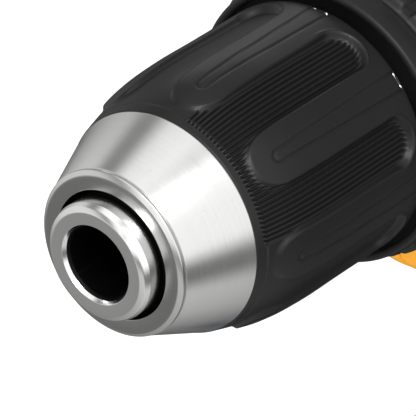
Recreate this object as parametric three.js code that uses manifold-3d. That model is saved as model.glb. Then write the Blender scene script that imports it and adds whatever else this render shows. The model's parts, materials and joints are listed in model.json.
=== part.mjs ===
// Cordless drill driver, standing on its battery pack.
// Millimetres, +Z up. The chuck points along -Y and X = 0 is the plane between the two housing halves.
// The origin is on the floor, in the middle of the battery pack's underside.
import * as THREE from "three";
import { mergeVertices } from "three/addons/utils/BufferGeometryUtils.js";
import Module from "manifold-3d";

const wasm = await Module();
wasm.setup();

// ---------- driving dimensions ----------
const AXIS_Z = 180; // height of the spindle's axis
const NOSE_Y = -136; // front face of the chuck
const GAP = 0.3; // clearance between neighbouring pieces
const ROUND = 24; // facets round a large turned piece
const SMALL_ROUND = 12; // facets round a small one

const BORE_R = 6.5; // the chuck takes 13 mm shanks
const CONE_R = 20.2; // rear edge of the steel nose cone
const SLEEVE_R = 24; // raised pads of the grip sleeve
const SLEEVE_END = 59.6; // rear rim of the sleeve, behind the chuck's face
const CHANNELS = 8; // recesses round the sleeve
const PAD_ANGLE = 22.5; // degrees from a recess to the pad beside it
const SLEEVE_PHASE = 26.7; // angle of the first recess, with the sleeve turned as it is stored

const JAWS = 3;
const JAW_TILT = THREE.MathUtils.degToRad(15);
const JAW_R = 4;
const JAW_TIP = 22.3; // station of the jaw tips with the chuck fully open
const JAW_LENGTH = 31;
const JAW_LINE_R = 1.2; // distance of a jaw's centre line from the axis at the chuck's face

const MODULE = 1.27; // of every gear
const RING_TEETH = 30;
const SUN_TEETH = 12;
const PLANET_TEETH = 9;
const STAGES = [
  { front: 110.4, rear: 117.6 },
  { front: 98.9, rear: 105.8 },
  { front: 86.7, rear: 95 },
];
const PLANETS = 3;
const RING_R = 22.4; // outside of the ring gears
const PIN_R = 1.5; // pins that the planets turn on

const BARREL_FRONT = 84.2; // where the housing starts behind the torque collar
const BARREL_REAR = 205;
const WALL = 2.8;
const SKIN = 1.2; // rubber on the handle
const FOOT_Z = 36.4; // underside of the handle's foot
const PACK_TOP = 36; // shoulder of the battery pack
const PACK_SPLIT = 19; // joint between the pack's tray and lid
const RAIL_HALF = 21; // half width of the pack's rail block
const LIP_HALF = 24.4; // half width over the rail's lips
const CELLS = 5;
const CELL_R = 9.2;
const CELL_LENGTH = 65;
const CELL_PITCH = 18.7;

// ---------- materials ----------
const finish = (color, roughness, metalness = 0) =>
  new THREE.MeshStandardMaterial({ color, roughness, metalness });
const steel = finish(0xc9c9c8, 0.28, 1);
const darkSteel = finish(0x77797c, 0.4, 1);
const blackNylon = finish(0x2b2b2c, 0.55);
const yellowNylon = finish(0xf5a800, 0.5);
const rubber = finish(0x232324, 0.8);
const sinteredIron = finish(0x6d6e70, 0.5, 0.8);
const copper = finish(0xb06a3a, 0.4, 0.9);
const lensPlastic = finish(0xe8eef2, 0.15);
const cellWrap = finish(0x3c6fb4, 0.5);
const springSteel = finish(0xb5b7ba, 0.35, 1);

// ---------- shapes ----------
const station = (s) => NOSE_Y + s; // s is measured backwards from the chuck's face
const vec2 = ([x, y]) => new THREE.Vector2(x, y);

// A closed geometry as a manifold solid with its faces pointing out.
function solid(geometry) {
  const bare = new THREE.BufferGeometry();
  bare.setAttribute("position", geometry.getAttribute("position"));
  if (geometry.index) bare.setIndex(geometry.index);
  const merged = mergeVertices(bare, 1e-4);
  const all = merged.index.array;
  const build = (flip) => {
    const kept = [];
    for (let i = 0; i < all.length; i += 3) {
      const [a, b, c] = [all[i], all[i + 1], all[i + 2]];
      if (a !== b && b !== c && a !== c) kept.push(a, flip ? c : b, flip ? b : c);
    }
    return new wasm.Manifold(new wasm.Mesh({
      numProp: 3,
      vertProperties: merged.attributes.position.array,
      triVerts: new Uint32Array(kept),
    }));
  };
  const made = build(false);
  return made.volume() < 0 ? build(true) : made;
}

function fromSolid(made) {
  const mesh = made.getMesh();
  const geometry = new THREE.BufferGeometry();
  geometry.setAttribute("position", new THREE.BufferAttribute(mesh.vertProperties, 3));
  geometry.setIndex(new THREE.BufferAttribute(mesh.triVerts, 1));
  geometry.computeVertexNormals();
  return geometry;
}

const join = (...solids) => solids.reduce((sum, next) => sum.add(next));
const cut = (body, ...tools) => tools.reduce((left, tool) => left.subtract(tool), body);

// Turned about the spindle's axis. Profile points are [radius, station].
const turned = (profile, facets = ROUND) =>
  solid(new THREE.LatheGeometry(profile.map(([r, s]) => vec2([r, station(s)])), facets));

const ring = (inner, outer, front, rear, facets = ROUND) =>
  turned([[inner, front], [outer, front], [outer, rear], [inner, rear], [inner, front]], facets);

const disc = (radius, front, rear, facets = ROUND) =>
  turned([[0, front], [radius, front], [radius, rear], [0, rear]], facets);

const box = (x0, x1, y0, y1, z0, z1) =>
  solid(new THREE.BoxGeometry(x1 - x0, y1 - y0, z1 - z0)
    .translate((x0 + x1) / 2, (y0 + y1) / 2, (z0 + z1) / 2));

// A rod between two points.
function rod(from, to, radius, facets = SMALL_ROUND) {
  const a = new THREE.Vector3(...from);
  const b = new THREE.Vector3(...to);
  const along = b.clone().sub(a);
  const turn = new THREE.Quaternion()
    .setFromUnitVectors(new THREE.Vector3(0, 1, 0), along.clone().normalize());
  return solid(new THREE.CylinderGeometry(radius, radius, along.length(), facets)
    .applyQuaternion(turn)
    .translate(...a.add(b).multiplyScalar(0.5).toArray()));
}

// A flat outline of [x, z] points, with holes, as thick as the stretch between two stations.
function plateOf(outline, front, rear, holes = []) {
  const shape = new THREE.Shape(outline.map(vec2));
  shape.holes = holes.map((hole) => new THREE.Path(hole.map(vec2)));
  return solid(new THREE.ExtrudeGeometry(shape, { depth: rear - front, bevelEnabled: false })
    .rotateX(Math.PI / 2)
    .translate(0, station(rear), 0));
}

const circle = (radius, points, x = 0, z = 0) =>
  Array.from({ length: points }, (_, i) => {
    const a = (i / points) * 2 * Math.PI;
    return [x + radius * Math.cos(a), z + radius * Math.sin(a)];
  });

const NEARLY_ZERO = 1e-7;

// A lofted body: a capped cylinder whose rings are reshaped. Each ring is
// { centre, half: [u, v], power }, and axes names the directions of u and v.
function loft(rings, axes, sides) {
  const skin = new THREE.CylinderGeometry(1, 1, rings.length - 1, sides, rings.length - 1);
  const at = skin.getAttribute("position");
  for (let i = 0; i < at.count; i++) {
    const level = Math.round((rings.length - 1) / 2 - at.getY(i));
    const { centre, half, power } = rings[level];
    const angle = Math.atan2(at.getZ(i), at.getX(i));
    const reach = Math.hypot(at.getX(i), at.getZ(i));
    const bulge = (value) =>
      (Math.abs(value) < NEARLY_ZERO ? 0 : Math.sign(value) * Math.abs(value) ** (2 / power) * reach);
    const point = new THREE.Vector3(...centre)
      .addScaledVector(axes[0], bulge(Math.cos(angle)) * half[0])
      .addScaledVector(axes[1], bulge(Math.sin(angle)) * half[1]);
    at.setXYZ(i, point.x, point.y, point.z);
  }
  return solid(skin);
}

const X = new THREE.Vector3(1, 0, 0);
const Y = new THREE.Vector3(0, 1, 0);
const Z = new THREE.Vector3(0, 0, 1);

// Horizontal sections: [height, middle y, half depth, half width, power].
const lofted = (table, grow, sides = 32) =>
  loft(table.map(([z, y, depth, width, power]) =>
    ({ centre: [0, y, z], half: [width + grow, depth + grow], power })), [X, Y], sides);

// A coil spring along a straight line, as a round wire on a helix.
class Helix extends THREE.Curve {
  constructor(start, direction, side, radius, length, turns) {
    super();
    Object.assign(this, { start, direction, side, radius, length, turns });
    this.other = new THREE.Vector3().crossVectors(direction, side);
  }

  getPoint(t, target = new THREE.Vector3()) {
    const a = t * this.turns * 2 * Math.PI;
    return target.copy(this.start)
      .addScaledVector(this.direction, t * this.length)
      .addScaledVector(this.side, this.radius * Math.cos(a))
      .addScaledVector(this.other, this.radius * Math.sin(a));
  }
}

function coil(start, direction, side, radius, wire, length, turns, stepsPerTurn, sides) {
  const path = new Helix(new THREE.Vector3(...start), direction, side, radius, length, turns);
  return solid(new THREE.ExtrudeGeometry(new THREE.Shape(circle(wire, sides).map(vec2)), {
    steps: turns * stepsPerTurn,
    extrudePath: path,
    bevelEnabled: false,
  }));
}

// ---------- gears ----------
const PRESSURE = THREE.MathUtils.degToRad(20);
const BACKLASH = 0.22;
const involute = (angle) => Math.tan(angle) - angle;

// Half the angle that a tooth covers at a radius.
function toothHalf(teeth, radius, play) {
  const pitch = (MODULE * teeth) / 2;
  const base = pitch * Math.cos(PRESSURE);
  const thick = (Math.PI * MODULE) / 2 - play;
  const lean = Math.acos(Math.min(1, base / Math.max(radius, base)));
  return thick / 2 / pitch + involute(PRESSURE) - involute(lean);
}

// Outline of an external gear, or of the space inside a ring gear. A tooth is centred on phase.
function gearOutline(teeth, phase, { above, below, play }) {
  const pitch = (MODULE * teeth) / 2;
  const root = pitch - below * MODULE;
  const tip = pitch + above * MODULE;
  const outline = [];
  for (let i = 0; i < teeth; i++) {
    const middle = phase + (i / teeth) * 2 * Math.PI;
    const [wide, narrow] = [toothHalf(teeth, root, play), toothHalf(teeth, tip, play)];
    for (const [r, a] of [[root, -wide], [tip, -narrow], [tip, narrow], [root, wide]])
      outline.push([r * Math.cos(middle + a), r * Math.sin(middle + a)]);
  }
  return outline;
}

const externalTeeth = { above: 0.8, below: 1.2, play: BACKLASH };
const ringSpace = { above: 1.1, below: 0.75, play: -BACKLASH };

// Angle of planet i, and the phases that put its teeth and the ring's in mesh with a sun at phase 0.
const planetAngle = (i) => Math.PI / 2 + (i / PLANETS) * 2 * Math.PI;
const PLANET_REACH = (MODULE * (SUN_TEETH + PLANET_TEETH)) / 2;
const planetPhase = (at) =>
  at + Math.PI + Math.PI / PLANET_TEETH + (at * SUN_TEETH) / PLANET_TEETH;
const ringPhase = (at) => at + ((planetPhase(at) - at) * PLANET_TEETH) / RING_TEETH;
const planetCentre = (i) =>
  [PLANET_REACH * Math.cos(planetAngle(i)), PLANET_REACH * Math.sin(planetAngle(i))];

function planetGear({ front, rear }, i) {
  const [x, z] = planetCentre(i);
  const outline = gearOutline(PLANET_TEETH, planetPhase(planetAngle(i)), externalTeeth);
  return plateOf(outline, front, rear, [circle(PIN_R + GAP, 10)]).translate([x, 0, z]);
}

const ringGear = (front, rear) =>
  plateOf(circle(RING_R, RING_TEETH), front, rear,
    [gearOutline(RING_TEETH, ringPhase(planetAngle(0)), ringSpace)]);

// A disc with three pins for one stage's planets, and the next stage's sun on its other side.
function carrier(stage, radius, front, rear, next) {
  let made = disc(radius, front, rear);
  for (let i = 0; i < PLANETS; i++) {
    const [x, z] = planetCentre(i);
    made = made.add(rod([x, station(rear - 1), z], [x, station(stage.rear), z], PIN_R, 10));
  }
  if (!next) return made;
  return made.add(plateOf(gearOutline(SUN_TEETH, 0, externalTeeth), next.front, front + 0.5));
}

// ---------- chuck ----------
// A point on the centre line of jaw i, at a station.
function jawPoint(i, s) {
  const at = planetAngle(i);
  const r = JAW_LINE_R + s * Math.tan(JAW_TILT);
  return [r * Math.cos(at), station(s), r * Math.sin(at)];
}

const jawBore = (i) => rod(jawPoint(i, 3), jawPoint(i, 62), JAW_R + GAP, 12);

function chuckBody() {
  const turnedBody = turned([
    [7.1, 0], [9.4, 0], [10.2, 0.3], [10.6, 1.2], [10.6, 4.6], [12.8, 7.4], [13, 8], [13, 36.4],
    [18.2, 36.4], [18.2, 42.6], [15.2, 43.4], [15.2, 56.4], [6.7, 56.4], [6.7, 37], [3.3, 37], [3.3, 33],
    [BORE_R, 33], [BORE_R, 0.9], [7.1, 0],
  ]);
  return cut(turnedBody, ...[0, 1, 2].map(jawBore));
}

// A jaw with the chuck open: a tilted rod, cut to a wedge whose edge is parallel to the axis.
function jaw(i) {
  const rear = JAW_TIP + JAW_LENGTH * Math.cos(JAW_TILT);
  const body = rod(jawPoint(i, JAW_TIP - 6), jawPoint(i, rear), JAW_R, 12);
  const [far, side] = [60, 40];
  const edge = side / Math.tan(Math.PI / 3);
  const turn = planetAngle(i) - Math.PI / 2;
  const wedge = [[0, BORE_R], [side, BORE_R + edge], [side, far], [-side, far], [-side, BORE_R + edge]]
    .map(([x, z]) => [
      x * Math.cos(turn) - z * Math.sin(turn),
      x * Math.sin(turn) + z * Math.cos(turn),
    ]);
  return body.intersect(plateOf(wedge, JAW_TIP, 70));
}

// The recess between two pads: a slot with a round rear end, cut in from outside.
function sleeveChannel(i) {
  const half = 4.1;
  const floor = 22.7;
  const slot = new THREE.Shape();
  slot.moveTo(-half, station(20));
  slot.lineTo(half, station(20));
  slot.lineTo(half, station(52.4));
  slot.absarc(0, station(52.4), half, 0, Math.PI, false);
  const geometry = new THREE.ExtrudeGeometry(slot, { depth: 6, bevelEnabled: false, curveSegments: 3 });
  return solid(geometry.translate(0, 0, floor)
    .rotateY(THREE.MathUtils.degToRad(SLEEVE_PHASE + (i * 360) / CHANNELS)));
}

function gripSleeve() {
  const body = turned([
    [CONE_R, 17.3], [21.3, 19.5], [22.5, 23], [23.4, 28], [23.9, 34], [SLEEVE_R, 44], [24.4, 57.8],
    [23.4, SLEEVE_END], [20.8, SLEEVE_END], [20.8, 33.6], [18.7, 33], [18.7, 17.3], [CONE_R, 17.3],
  ]);
  return cut(body, ...Array.from({ length: CHANNELS }, (_, i) => sleeveChannel(i)));
}

const noseCone = () => turned([
  [11.9, 4], [14.6, 4], [15.1, 4.3], [15.3, 4.9], [CONE_R, 17], [18.4, 17], [18.4, 21.8], [17, 21.8],
  [17, 16.4], [14.4, 8.4], [11.9, 5.3], [11.9, 4],
]);

// The plate that closes the back of the chuck, with a tab behind each pad.
function rearPlate() {
  const tabs = Array.from({ length: CHANNELS }, (_, i) => {
    const tab = box(-1.6, 1.6, station(56.9), station(58.2), 18.5, 20.4);
    return tab.rotate([0, SLEEVE_PHASE + PAD_ANGLE + (i * 360) / CHANNELS, 0]);
  });
  return join(ring(9.6, 19.6, 56.9, 58.2), ...tabs);
}

// ---------- clutch ----------
const torqueCollar = () => turned([
  [10.6, 63], [25.3, 63], [25.3, 61.3], [26.3, 60.9], [27, 61.6], [27, 66.4], [28.3, 67.6],
  [28.5, 80.4], [27.4, 83.6], [24.2, 83.6], [24.2, 64.2], [10.6, 64.2], [10.6, 63],
]);

const PINS = 6;
const PIN_REACH = 20.8;
const CLUTCH_PIN_R = 1.5;
const pinsAt = (front, rear, r) => Array.from({ length: PINS }, (_, i) => {
  const a = (i / PINS) * 2 * Math.PI;
  const [x, z] = [PIN_REACH * Math.cos(a), PIN_REACH * Math.sin(a)];
  return rod([x, station(front), z], [x, station(rear), z], r, 8);
});

// A ring behind the spring, with pins that reach through the gear case to the last ring gear.
const clutchPlate = () => join(ring(15.9, 22.6, 74.6, 76.6), ...pinsAt(75.5, 85.9, CLUTCH_PIN_R));

const FORK_SLOT_HALF = 3.9;
function gearCase() {
  const shell = turned([
    [13.3, 64.6], [15.4, 64.6], [15.4, 77], [23.6, 77], [23.6, 84.7], [26, 84.7], [26, 118.2],
    [22.8, 118.2], [22.8, 85.7], [18.6, 85.7], [18.6, 79.4], [9.8, 79.4], [9.8, 75.2], [13.3, 75.2],
    [13.3, 64.6],
  ]);
  const forkSlot = box(-FORK_SLOT_HALF, FORK_SLOT_HALF, station(98), station(110.6), 20, 30);
  return cut(shell, forkSlot, ...pinsAt(76, 87, CLUTCH_PIN_R + GAP));
}

// ---------- motor ----------
// The end cap carries the rear bushing and a holder for each brush.
const BRUSH_REACH = 10.5;
function endCap() {
  const cap = ring(2.6, 18.6, 171.4, 175.6);
  const holders = [-BRUSH_REACH, BRUSH_REACH].map((x) =>
    box(x - 4, x + 4, station(175), station(179.4), -3.4, 3.4));
  return join(cap, ring(2.6, 5.4, 175, 178, 20), ...holders);
}

const FAN_BLADES = 8;
function coolingFan() {
  const blades = Array.from({ length: FAN_BLADES }, (_, i) =>
    box(3, 16, station(181.4), station(186.6), -0.5, 0.5).rotate([0, (i * 360) / FAN_BLADES, 0]));
  return join(ring(1.9, 4, 180.4, 188, 16), ring(1.9, 16.6, 186, 187.4), ...blades);
}

// ---------- housing ----------
const HANDLE = [
  [166, 5, 31, 20, 2.4], [152, 5, 29.4, 19.4, 2.4], [138, 7, 24.4, 18, 2.4],
  [118, 11, 21.4, 17.2, 2.4], [96, 14, 21, 17.3, 2.4], [76, 16, 22.4, 18.4, 2.5],
  [62, 15.5, 25, 20.2, 2.7], [52, 13, 29, 25, 3.2],
];
const FOOT = [
  [63, 17, 29, 20.6, 3], [57.4, 10, 38.5, 26.6, 3.4], [51, 3, 51, 35.6, 4.5], [FOOT_Z, 0, 55, 37, 5],
];
const CHIN = [
  [170, -24, 26, 22, 2.6], [152, -23, 25.8, 17.5, 2.8], [143, -22.5, 25, 15, 2.8],
  [137, -21.5, 23.2, 13.4, 2.7], [131.5, -17.5, 18.5, 12.2, 2.6], [128, -12.5, 11, 11, 2.5],
];
const PACK = [
  [PACK_TOP, 0, 55.6, 37.2, 9], [30, 0, 56, 37.5, 9], [6, 0, 55.6, 37.2, 9], [1.6, 0, 54.4, 36, 9],
  [0, 0, 52.4, 34, 8],
];

// Sections of the barrel: [station, middle height, half width, half height, power].
const BARREL = [
  [BARREL_FRONT, 0, 29, 29.2, 2], [88, 0, 30.2, 30.6, 2.1], [104, 0, 31, 31.4, 2.15],
  [172, 0, 30.6, 31.2, 2.2], [192, -0.5, 28.6, 29.4, 2.3], [201, -1, 25.6, 26.6, 2.4],
  [BARREL_REAR, -1.4, 20, 21.4, 2.5],
];

const barrel = (grow, trim = 0) =>
  loft(BARREL.map(([s, lift, width, height, power], i) => {
    const shift = i === 0 ? -trim : i === BARREL.length - 1 ? trim : 0;
    return {
      centre: [0, station(s) + shift, AXIS_Z + lift],
      half: [height + grow, width + grow],
      power,
    };
  }), [Z, X], 20);

const handle = (grow) => lofted(HANDLE, grow, 16);
const HALF_SPACE = 300;
const side = (sign) => (sign < 0
  ? box(-HALF_SPACE, -GAP / 2, -HALF_SPACE, HALF_SPACE, -HALF_SPACE, HALF_SPACE)
  : box(GAP / 2, HALF_SPACE, -HALF_SPACE, HALF_SPACE, -HALF_SPACE, HALF_SPACE));

// Where screws hold the halves together: [y, z]. Their heads sit in bores from -X.
const SCREWS = [[60, 163], [60, 196], [21, 98]];
const HEAD_X = -9.3;
const HEAD_R = 3.2;
const SHANK_R = 1.4;
const BOSS_R = 4.4;
const bossAt = ([y, z]) => rod([-29, y, z], [29, y, z], BOSS_R, 12);
const screwHole = ([y, z]) => join(
  rod([-40, y, z], [HEAD_X + GAP, y, z], HEAD_R + GAP, 12),
  rod([-12, y, z], [12, y, z], SHANK_R + GAP, 10),
);
const housingScrew = ([y, z]) => join(
  rod([-12, y, z], [HEAD_X, y, z], HEAD_R, 12),
  rod([-10, y, z], [11, y, z], SHANK_R, 10),
);

// The outer skin of both halves: barrel, chin, handle and foot in one.
const RUBBER_TOP = 127.6;
const rubberZone = () => box(-40, 40, -40, 60, 67, RUBBER_TOP);
function bodyBlank() {
  const grip = cut(handle(0), rubberZone()).add(handle(-SKIN - GAP));
  return join(barrel(0), lofted(CHIN, 0, 12), grip, lofted(FOOT, 0, 16));
}

// Room inside for the works, before the ribs and bosses go back in.
function bodyRoom() {
  const inside = join(
    barrel(-WALL, -WALL),
    disc(25, BARREL_FRONT - 4, BARREL_FRONT + 6).translate([0, 0, AXIS_Z]),
    lofted(CHIN, -WALL, 12).intersect(box(-40, 40, -80, 60, 145, 200)),
    handle(-SKIN - GAP - WALL).intersect(box(-40, 40, -80, 80, 59.3, 200)),
  );
  return inside;
}

const GEAR_CASE_SEAT = 26.3;
// Two ribs in the housing hold the motor can.
const motorRibs = () => join(
  ring(18.9, 29.5, 127, 129.5),
  ring(18.9, 29, 162, 164.5),
).translate([0, 0, AXIS_Z]);

// The slot that the pack's rail slides into, open at the front.
const packSlot = () => join(
  box(-RAIL_HALF - 0.6, RAIL_HALF + 0.6, -80, 46, 20, 42.2),
  box(-LIP_HALF - 0.6, LIP_HALF + 0.6, -80, 46, 41.7, 52),
);

const TRIGGER_HALF = 7.6; // half width
const TRIGGER_LOW = 104.5;
const TRIGGER_TOP = 133.3;
const TRIGGER_Z = 118.5; // height of the line that the trigger moves along
const HOOK_SCREW_Z = 47;
const HOOK_HOLE_R = 2.1;
const VENTS = 4;
const VENT_PITCH = 4.6;
const vents = () => [-32, 32].flatMap((x) =>
  Array.from({ length: VENTS }, (_, i) =>
    box(x - 8, x + 8, station(181 + i * VENT_PITCH), station(183 + i * VENT_PITCH),
      AXIS_Z - 10, AXIS_Z + 10)));

function housing(sign) {
  const shell = cut(bodyBlank(), bodyRoom());
  const inner = join(motorRibs(), ...SCREWS.map(bossAt)).intersect(bodyBlank());
  const openings = [
    disc(GEAR_CASE_SEAT, 80, 121.1).translate([0, 0, AXIS_Z]),
    box(-TRIGGER_HALF - 0.6, TRIGGER_HALF + 0.6, -31, 0, TRIGGER_LOW - 1, TRIGGER_TOP + 0.8),
    box(-24, 24, -11.6, -0.4, 143.4, 152.2), // direction selector
    box(-FORK_SLOT_HALF, FORK_SLOT_HALF, station(98), station(110.6), AXIS_Z + 20, AXIS_Z + 40),
    box(-5.4, 5.4, -52, -41, 146, 152.6), // lamp
    box(-11, 11, -2.6, 24.6, TRIGGER_LOW - 2.6, TRIGGER_TOP - 1.4), // trigger switch
    packSlot(),
    box(-16.6, 16.6, 8, 40, 50, 59.2), // terminal block
    rod([20, 0, HOOK_SCREW_Z], [60, 0, HOOK_SCREW_Z], HOOK_HOLE_R, 12),
    ...vents(),
    ...SCREWS.map(screwHole),
  ];
  return cut(shell.add(inner), ...openings).intersect(side(sign));
}

// Rubber grip round the handle, one moulding on each half.
function rubberGrip(sign) {
  const skin = cut(handle(0), handle(-SKIN)).intersect(rubberZone())
    .intersect(box(-40, 40, -40, 60, 67.4, RUBBER_TOP - 0.4));
  return cut(skin, box(-9, 9, -60, 6, TRIGGER_LOW - 3, 150), ...SCREWS.map(screwHole)).intersect(side(sign));
}

// ---------- controls ----------
// Side outline of the trigger as [y, z], with a hollow for the finger, then its width.
function trigger() {
  const outline = new THREE.Shape();
  outline.moveTo(-9.4, TRIGGER_LOW);
  outline.lineTo(-18, TRIGGER_LOW);
  outline.quadraticCurveTo(-24, TRIGGER_LOW + 1, -25.5, TRIGGER_LOW + 6);
  outline.quadraticCurveTo(-22, TRIGGER_LOW + 16, -27.6, TRIGGER_TOP - 3);
  outline.quadraticCurveTo(-28, TRIGGER_TOP - 0.2, -25, TRIGGER_TOP);
  outline.lineTo(-9.4, TRIGGER_TOP);
  const geometry = new THREE.ExtrudeGeometry(outline, {
    depth: 2 * TRIGGER_HALF,
    bevelEnabled: false,
    curveSegments: 6,
  });
  // the outline's x is y here and its y is z, so the extrusion runs along x
  const toSide = new THREE.Matrix4().makeBasis(Y, Z, X);
  const blank = solid(geometry.applyMatrix4(toSide).translate(-TRIGGER_HALF, 0, 0));
  return cut(blank, rod([0, -16.6, TRIGGER_Z], [0, 0, TRIGGER_Z], 4.4, 12));
}

const triggerSwitch = () => join(
  box(-10.6, 10.6, -2.2, 24.2, TRIGGER_LOW - 2.2, TRIGGER_TOP - 1.8),
  rod([0, -8.6, TRIGGER_Z], [0, -1, TRIGGER_Z], 2.1, 10),
);

const speedSelector = () => join(
  box(-9, 9, station(99.4), station(113.4), AXIS_Z + 31.8, AXIS_Z + 34),
  box(-7.5, 7.5, station(104.6), station(108.2), AXIS_Z + 33, AXIS_Z + 36.4),
  box(-3.4, 3.4, station(100.6), station(105.8), AXIS_Z + 29, AXIS_Z + 32.2),
);

const shiftFork = () => box(-3.4, 3.4, station(100.8), station(105.6), AXIS_Z + 22.9, AXIS_Z + 28.7);
const directionSelector = () => box(-22.5, 22.5, -11, -1, 144, 151.6);

// ---------- battery ----------
const BLADES_X = [-12, 0, 12]; // contact blades between the drill and the pack
const packOuter = () => lofted(PACK, 0, 20);
const packRoom = () => lofted(PACK, -2.6, 20).intersect(box(-50, 50, -60, 60, 2.6, 33.2));

const batteryTray = () => cut(packOuter(), packRoom()).intersect(box(-60, 60, -80, 80, -1, PACK_SPLIT));

function batteryLid() {
  const rail = join(
    box(-RAIL_HALF, RAIL_HALF, -47, 45, 33.5, 48.6),
    box(-LIP_HALF, LIP_HALF, -47, 45, 43, 48.6),
  );
  const railRoom = box(-RAIL_HALF + 2.5, RAIL_HALF - 2.5, -44, 8, 30, 46);
  const shell = cut(packOuter(), packRoom())
    .intersect(box(-60, 60, -80, 80, PACK_SPLIT + GAP, 60));
  const slots = BLADES_X.map((x) => box(x - 1.5, x + 1.5, 12, 50, 42, 52));
  const latchSeat = join(
    box(-15.4, 15.4, -70, -48, PACK_SPLIT, 31.4),
    box(-3.6, 3.6, -50, -40, 20, 26),
  );
  return cut(join(shell, rail), railRoom, ...slots, latchSeat);
}

// Cells welded into one block by nickel strips.
const STRIP = 0.4;
function cellPack() {
  const y = (i) => (i - (CELLS - 1) / 2) * CELL_PITCH;
  const z = 3 + CELL_R;
  const half = CELL_LENGTH / 2;
  const cells = Array.from({ length: CELLS }, (_, i) => rod([-half, y(i), z], [half, y(i), z], CELL_R, 20));
  const strips = [-half - STRIP, half].map((x) =>
    box(x, x + STRIP, y(0), y(CELLS - 1), z - 3, z + 3));
  return join(...cells, ...strips);
}

const latchButton = () => join(
  box(-15, 15, -56.8, -52.6, PACK_SPLIT + 1, 31),
  box(-9, 9, -55, -48.4, PACK_SPLIT + 2, 28),
);

const terminalBlock = () => join(
  box(-16, 16, 8.6, 39.4, 52.4, 58.6),
  ...BLADES_X.map((x) => box(x - 0.5, x + 0.5, 14, 39, 45, 53)),
);

// ---------- belt hook ----------
function beltHook() {
  const t = 1.8;
  const out = 51;
  const outline = [
    [37.6, 57], [37.6, 40.5], [39.5, 38.6], [out - 2, 38.6], [out, 40.6], [out, 74], [out + 4, 80],
    [out + 4 - t, 81], [out - t, 75], [out - t, 41.4], [out - 2.6, 38.6 + t], [40.2, 38.6 + t],
    [37.6 + t, 41.2], [37.6 + t, 57],
  ];
  const shape = new THREE.Shape(outline.map(vec2));
  const geometry = new THREE.ExtrudeGeometry(shape, { depth: 14, bevelEnabled: false })
    .rotateX(Math.PI / 2).translate(0, 7, 0);
  return cut(solid(geometry), rod([30, 0, HOOK_SCREW_Z], [45, 0, HOOK_SCREW_Z], HOOK_HOLE_R, 12));
}

const beltHookScrew = () => join(
  rod([39.7, 0, HOOK_SCREW_Z], [42, 0, HOOK_SCREW_Z], 4, 12),
  rod([27, 0, HOOK_SCREW_Z], [40, 0, HOOK_SCREW_Z], HOOK_HOLE_R - GAP, 10),
);

// ---------- assembly ----------
const drill = new THREE.Group();

function add(parent, name, made, material) {
  const mesh = new THREE.Mesh(fromSolid(made), material);
  mesh.name = name;
  parent.add(mesh);
}

// Everything in this group is modelled about the spindle's axis.
const driveLine = new THREE.Group();
driveLine.position.z = AXIS_Z;
drill.add(driveLine);

add(driveLine, "chuck_body", chuckBody(), steel);
for (let i = 0; i < JAWS; i++) add(driveLine, `chuck_jaw_${i + 1}`, jaw(i), darkSteel);
add(driveLine, "jaw_nut", ring(14.2, 18.4, 26.9, 31.7), darkSteel);
add(driveLine, "thrust_bearing", ring(15.4, 18.4, 32.3, 36), steel);
add(driveLine, "grip_sleeve", gripSleeve(), blackNylon);
add(driveLine, "nose_cone", noseCone(), steel);
add(driveLine, "chuck_rear_plate", rearPlate(), steel);
add(driveLine, "chuck_screw", turned([
  [0, 28.6], [4, 28.6], [4, 32.6], [2.9, 32.6], [2.9, 46], [0, 46],
], SMALL_ROUND), darkSteel);
add(driveLine, "spindle", turned([
  [0, 49], [3.2, 49], [3.2, 38], [6.3, 38], [6.3, 56.8], [9, 56.8], [9, 62], [7.5, 62], [7.5, 76],
  [5, 76], [5, 85.4], [0, 85.4],
], 24), steel);
add(driveLine, "spindle_bearing", ring(7.8, 13, 66.4, 74.8, 24), steel);
add(driveLine, "torque_collar", torqueCollar(), blackNylon);
add(driveLine, "clutch_nut", ring(15.9, 23.6, 64.6, 66.6), blackNylon);
add(driveLine, "clutch_spring",
  coil([0, station(70.9) - 2.4, 0], Y, X, 19, 0.9, 5, 2, 12, 4), springSteel);
add(driveLine, "clutch_plate", clutchPlate(), darkSteel);
add(driveLine, "gear_case", gearCase(), blackNylon);
add(driveLine, "output_carrier",
  cut(carrier(STAGES[2], 17.6, 80.2, 85.9), disc(5.3, 79, 86.5, 20)), sinteredIron);
add(driveLine, "carrier_2", carrier(STAGES[1], 17.4, 95.9, 98.2, STAGES[2]), sinteredIron);
add(driveLine, "carrier_1", carrier(STAGES[0], 17.4, 107.2, 109.6, STAGES[1]), sinteredIron);
STAGES.forEach((stage, n) => {
  for (let i = 0; i < PLANETS; i++)
    add(driveLine, `planet_${n + 1}${"abc"[i]}`, planetGear(stage, i), sinteredIron);
});
add(driveLine, "ring_gear_1", ringGear(110.8, 117.9), sinteredIron);
add(driveLine, "ring_gear_2", ringGear(98.7, 106), sinteredIron);
add(driveLine, "ring_gear_3", ringGear(86.3, 95.3), sinteredIron);
add(driveLine, "motor_plate", ring(8, 25.8, 118.6, 120.8), blackNylon);
add(driveLine, "motor_can", turned([
  [2.6, 119], [6.4, 119], [6.4, 121.4], [18.6, 121.4], [18.6, 171], [17.2, 171], [17.2, 122.8],
  [2.6, 122.8], [2.6, 119],
]), steel);
add(driveLine, "armature", turned([
  [0, 111], [1.6, 111], [1.6, 125], [12, 126], [13, 129], [15.8, 129], [15.8, 156], [13, 156],
  [12, 159], [4.6, 160], [4.6, 169], [1.6, 169], [1.6, 189], [0, 189],
], 16), copper);
add(driveLine, "motor_pinion",
  plateOf(gearOutline(SUN_TEETH, 0, externalTeeth), 110.4, 118.2, [circle(1.9, 12)]), darkSteel);
add(driveLine, "motor_end_cap", endCap(), blackNylon);
add(driveLine, "cooling_fan", coolingFan(), blackNylon);

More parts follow.
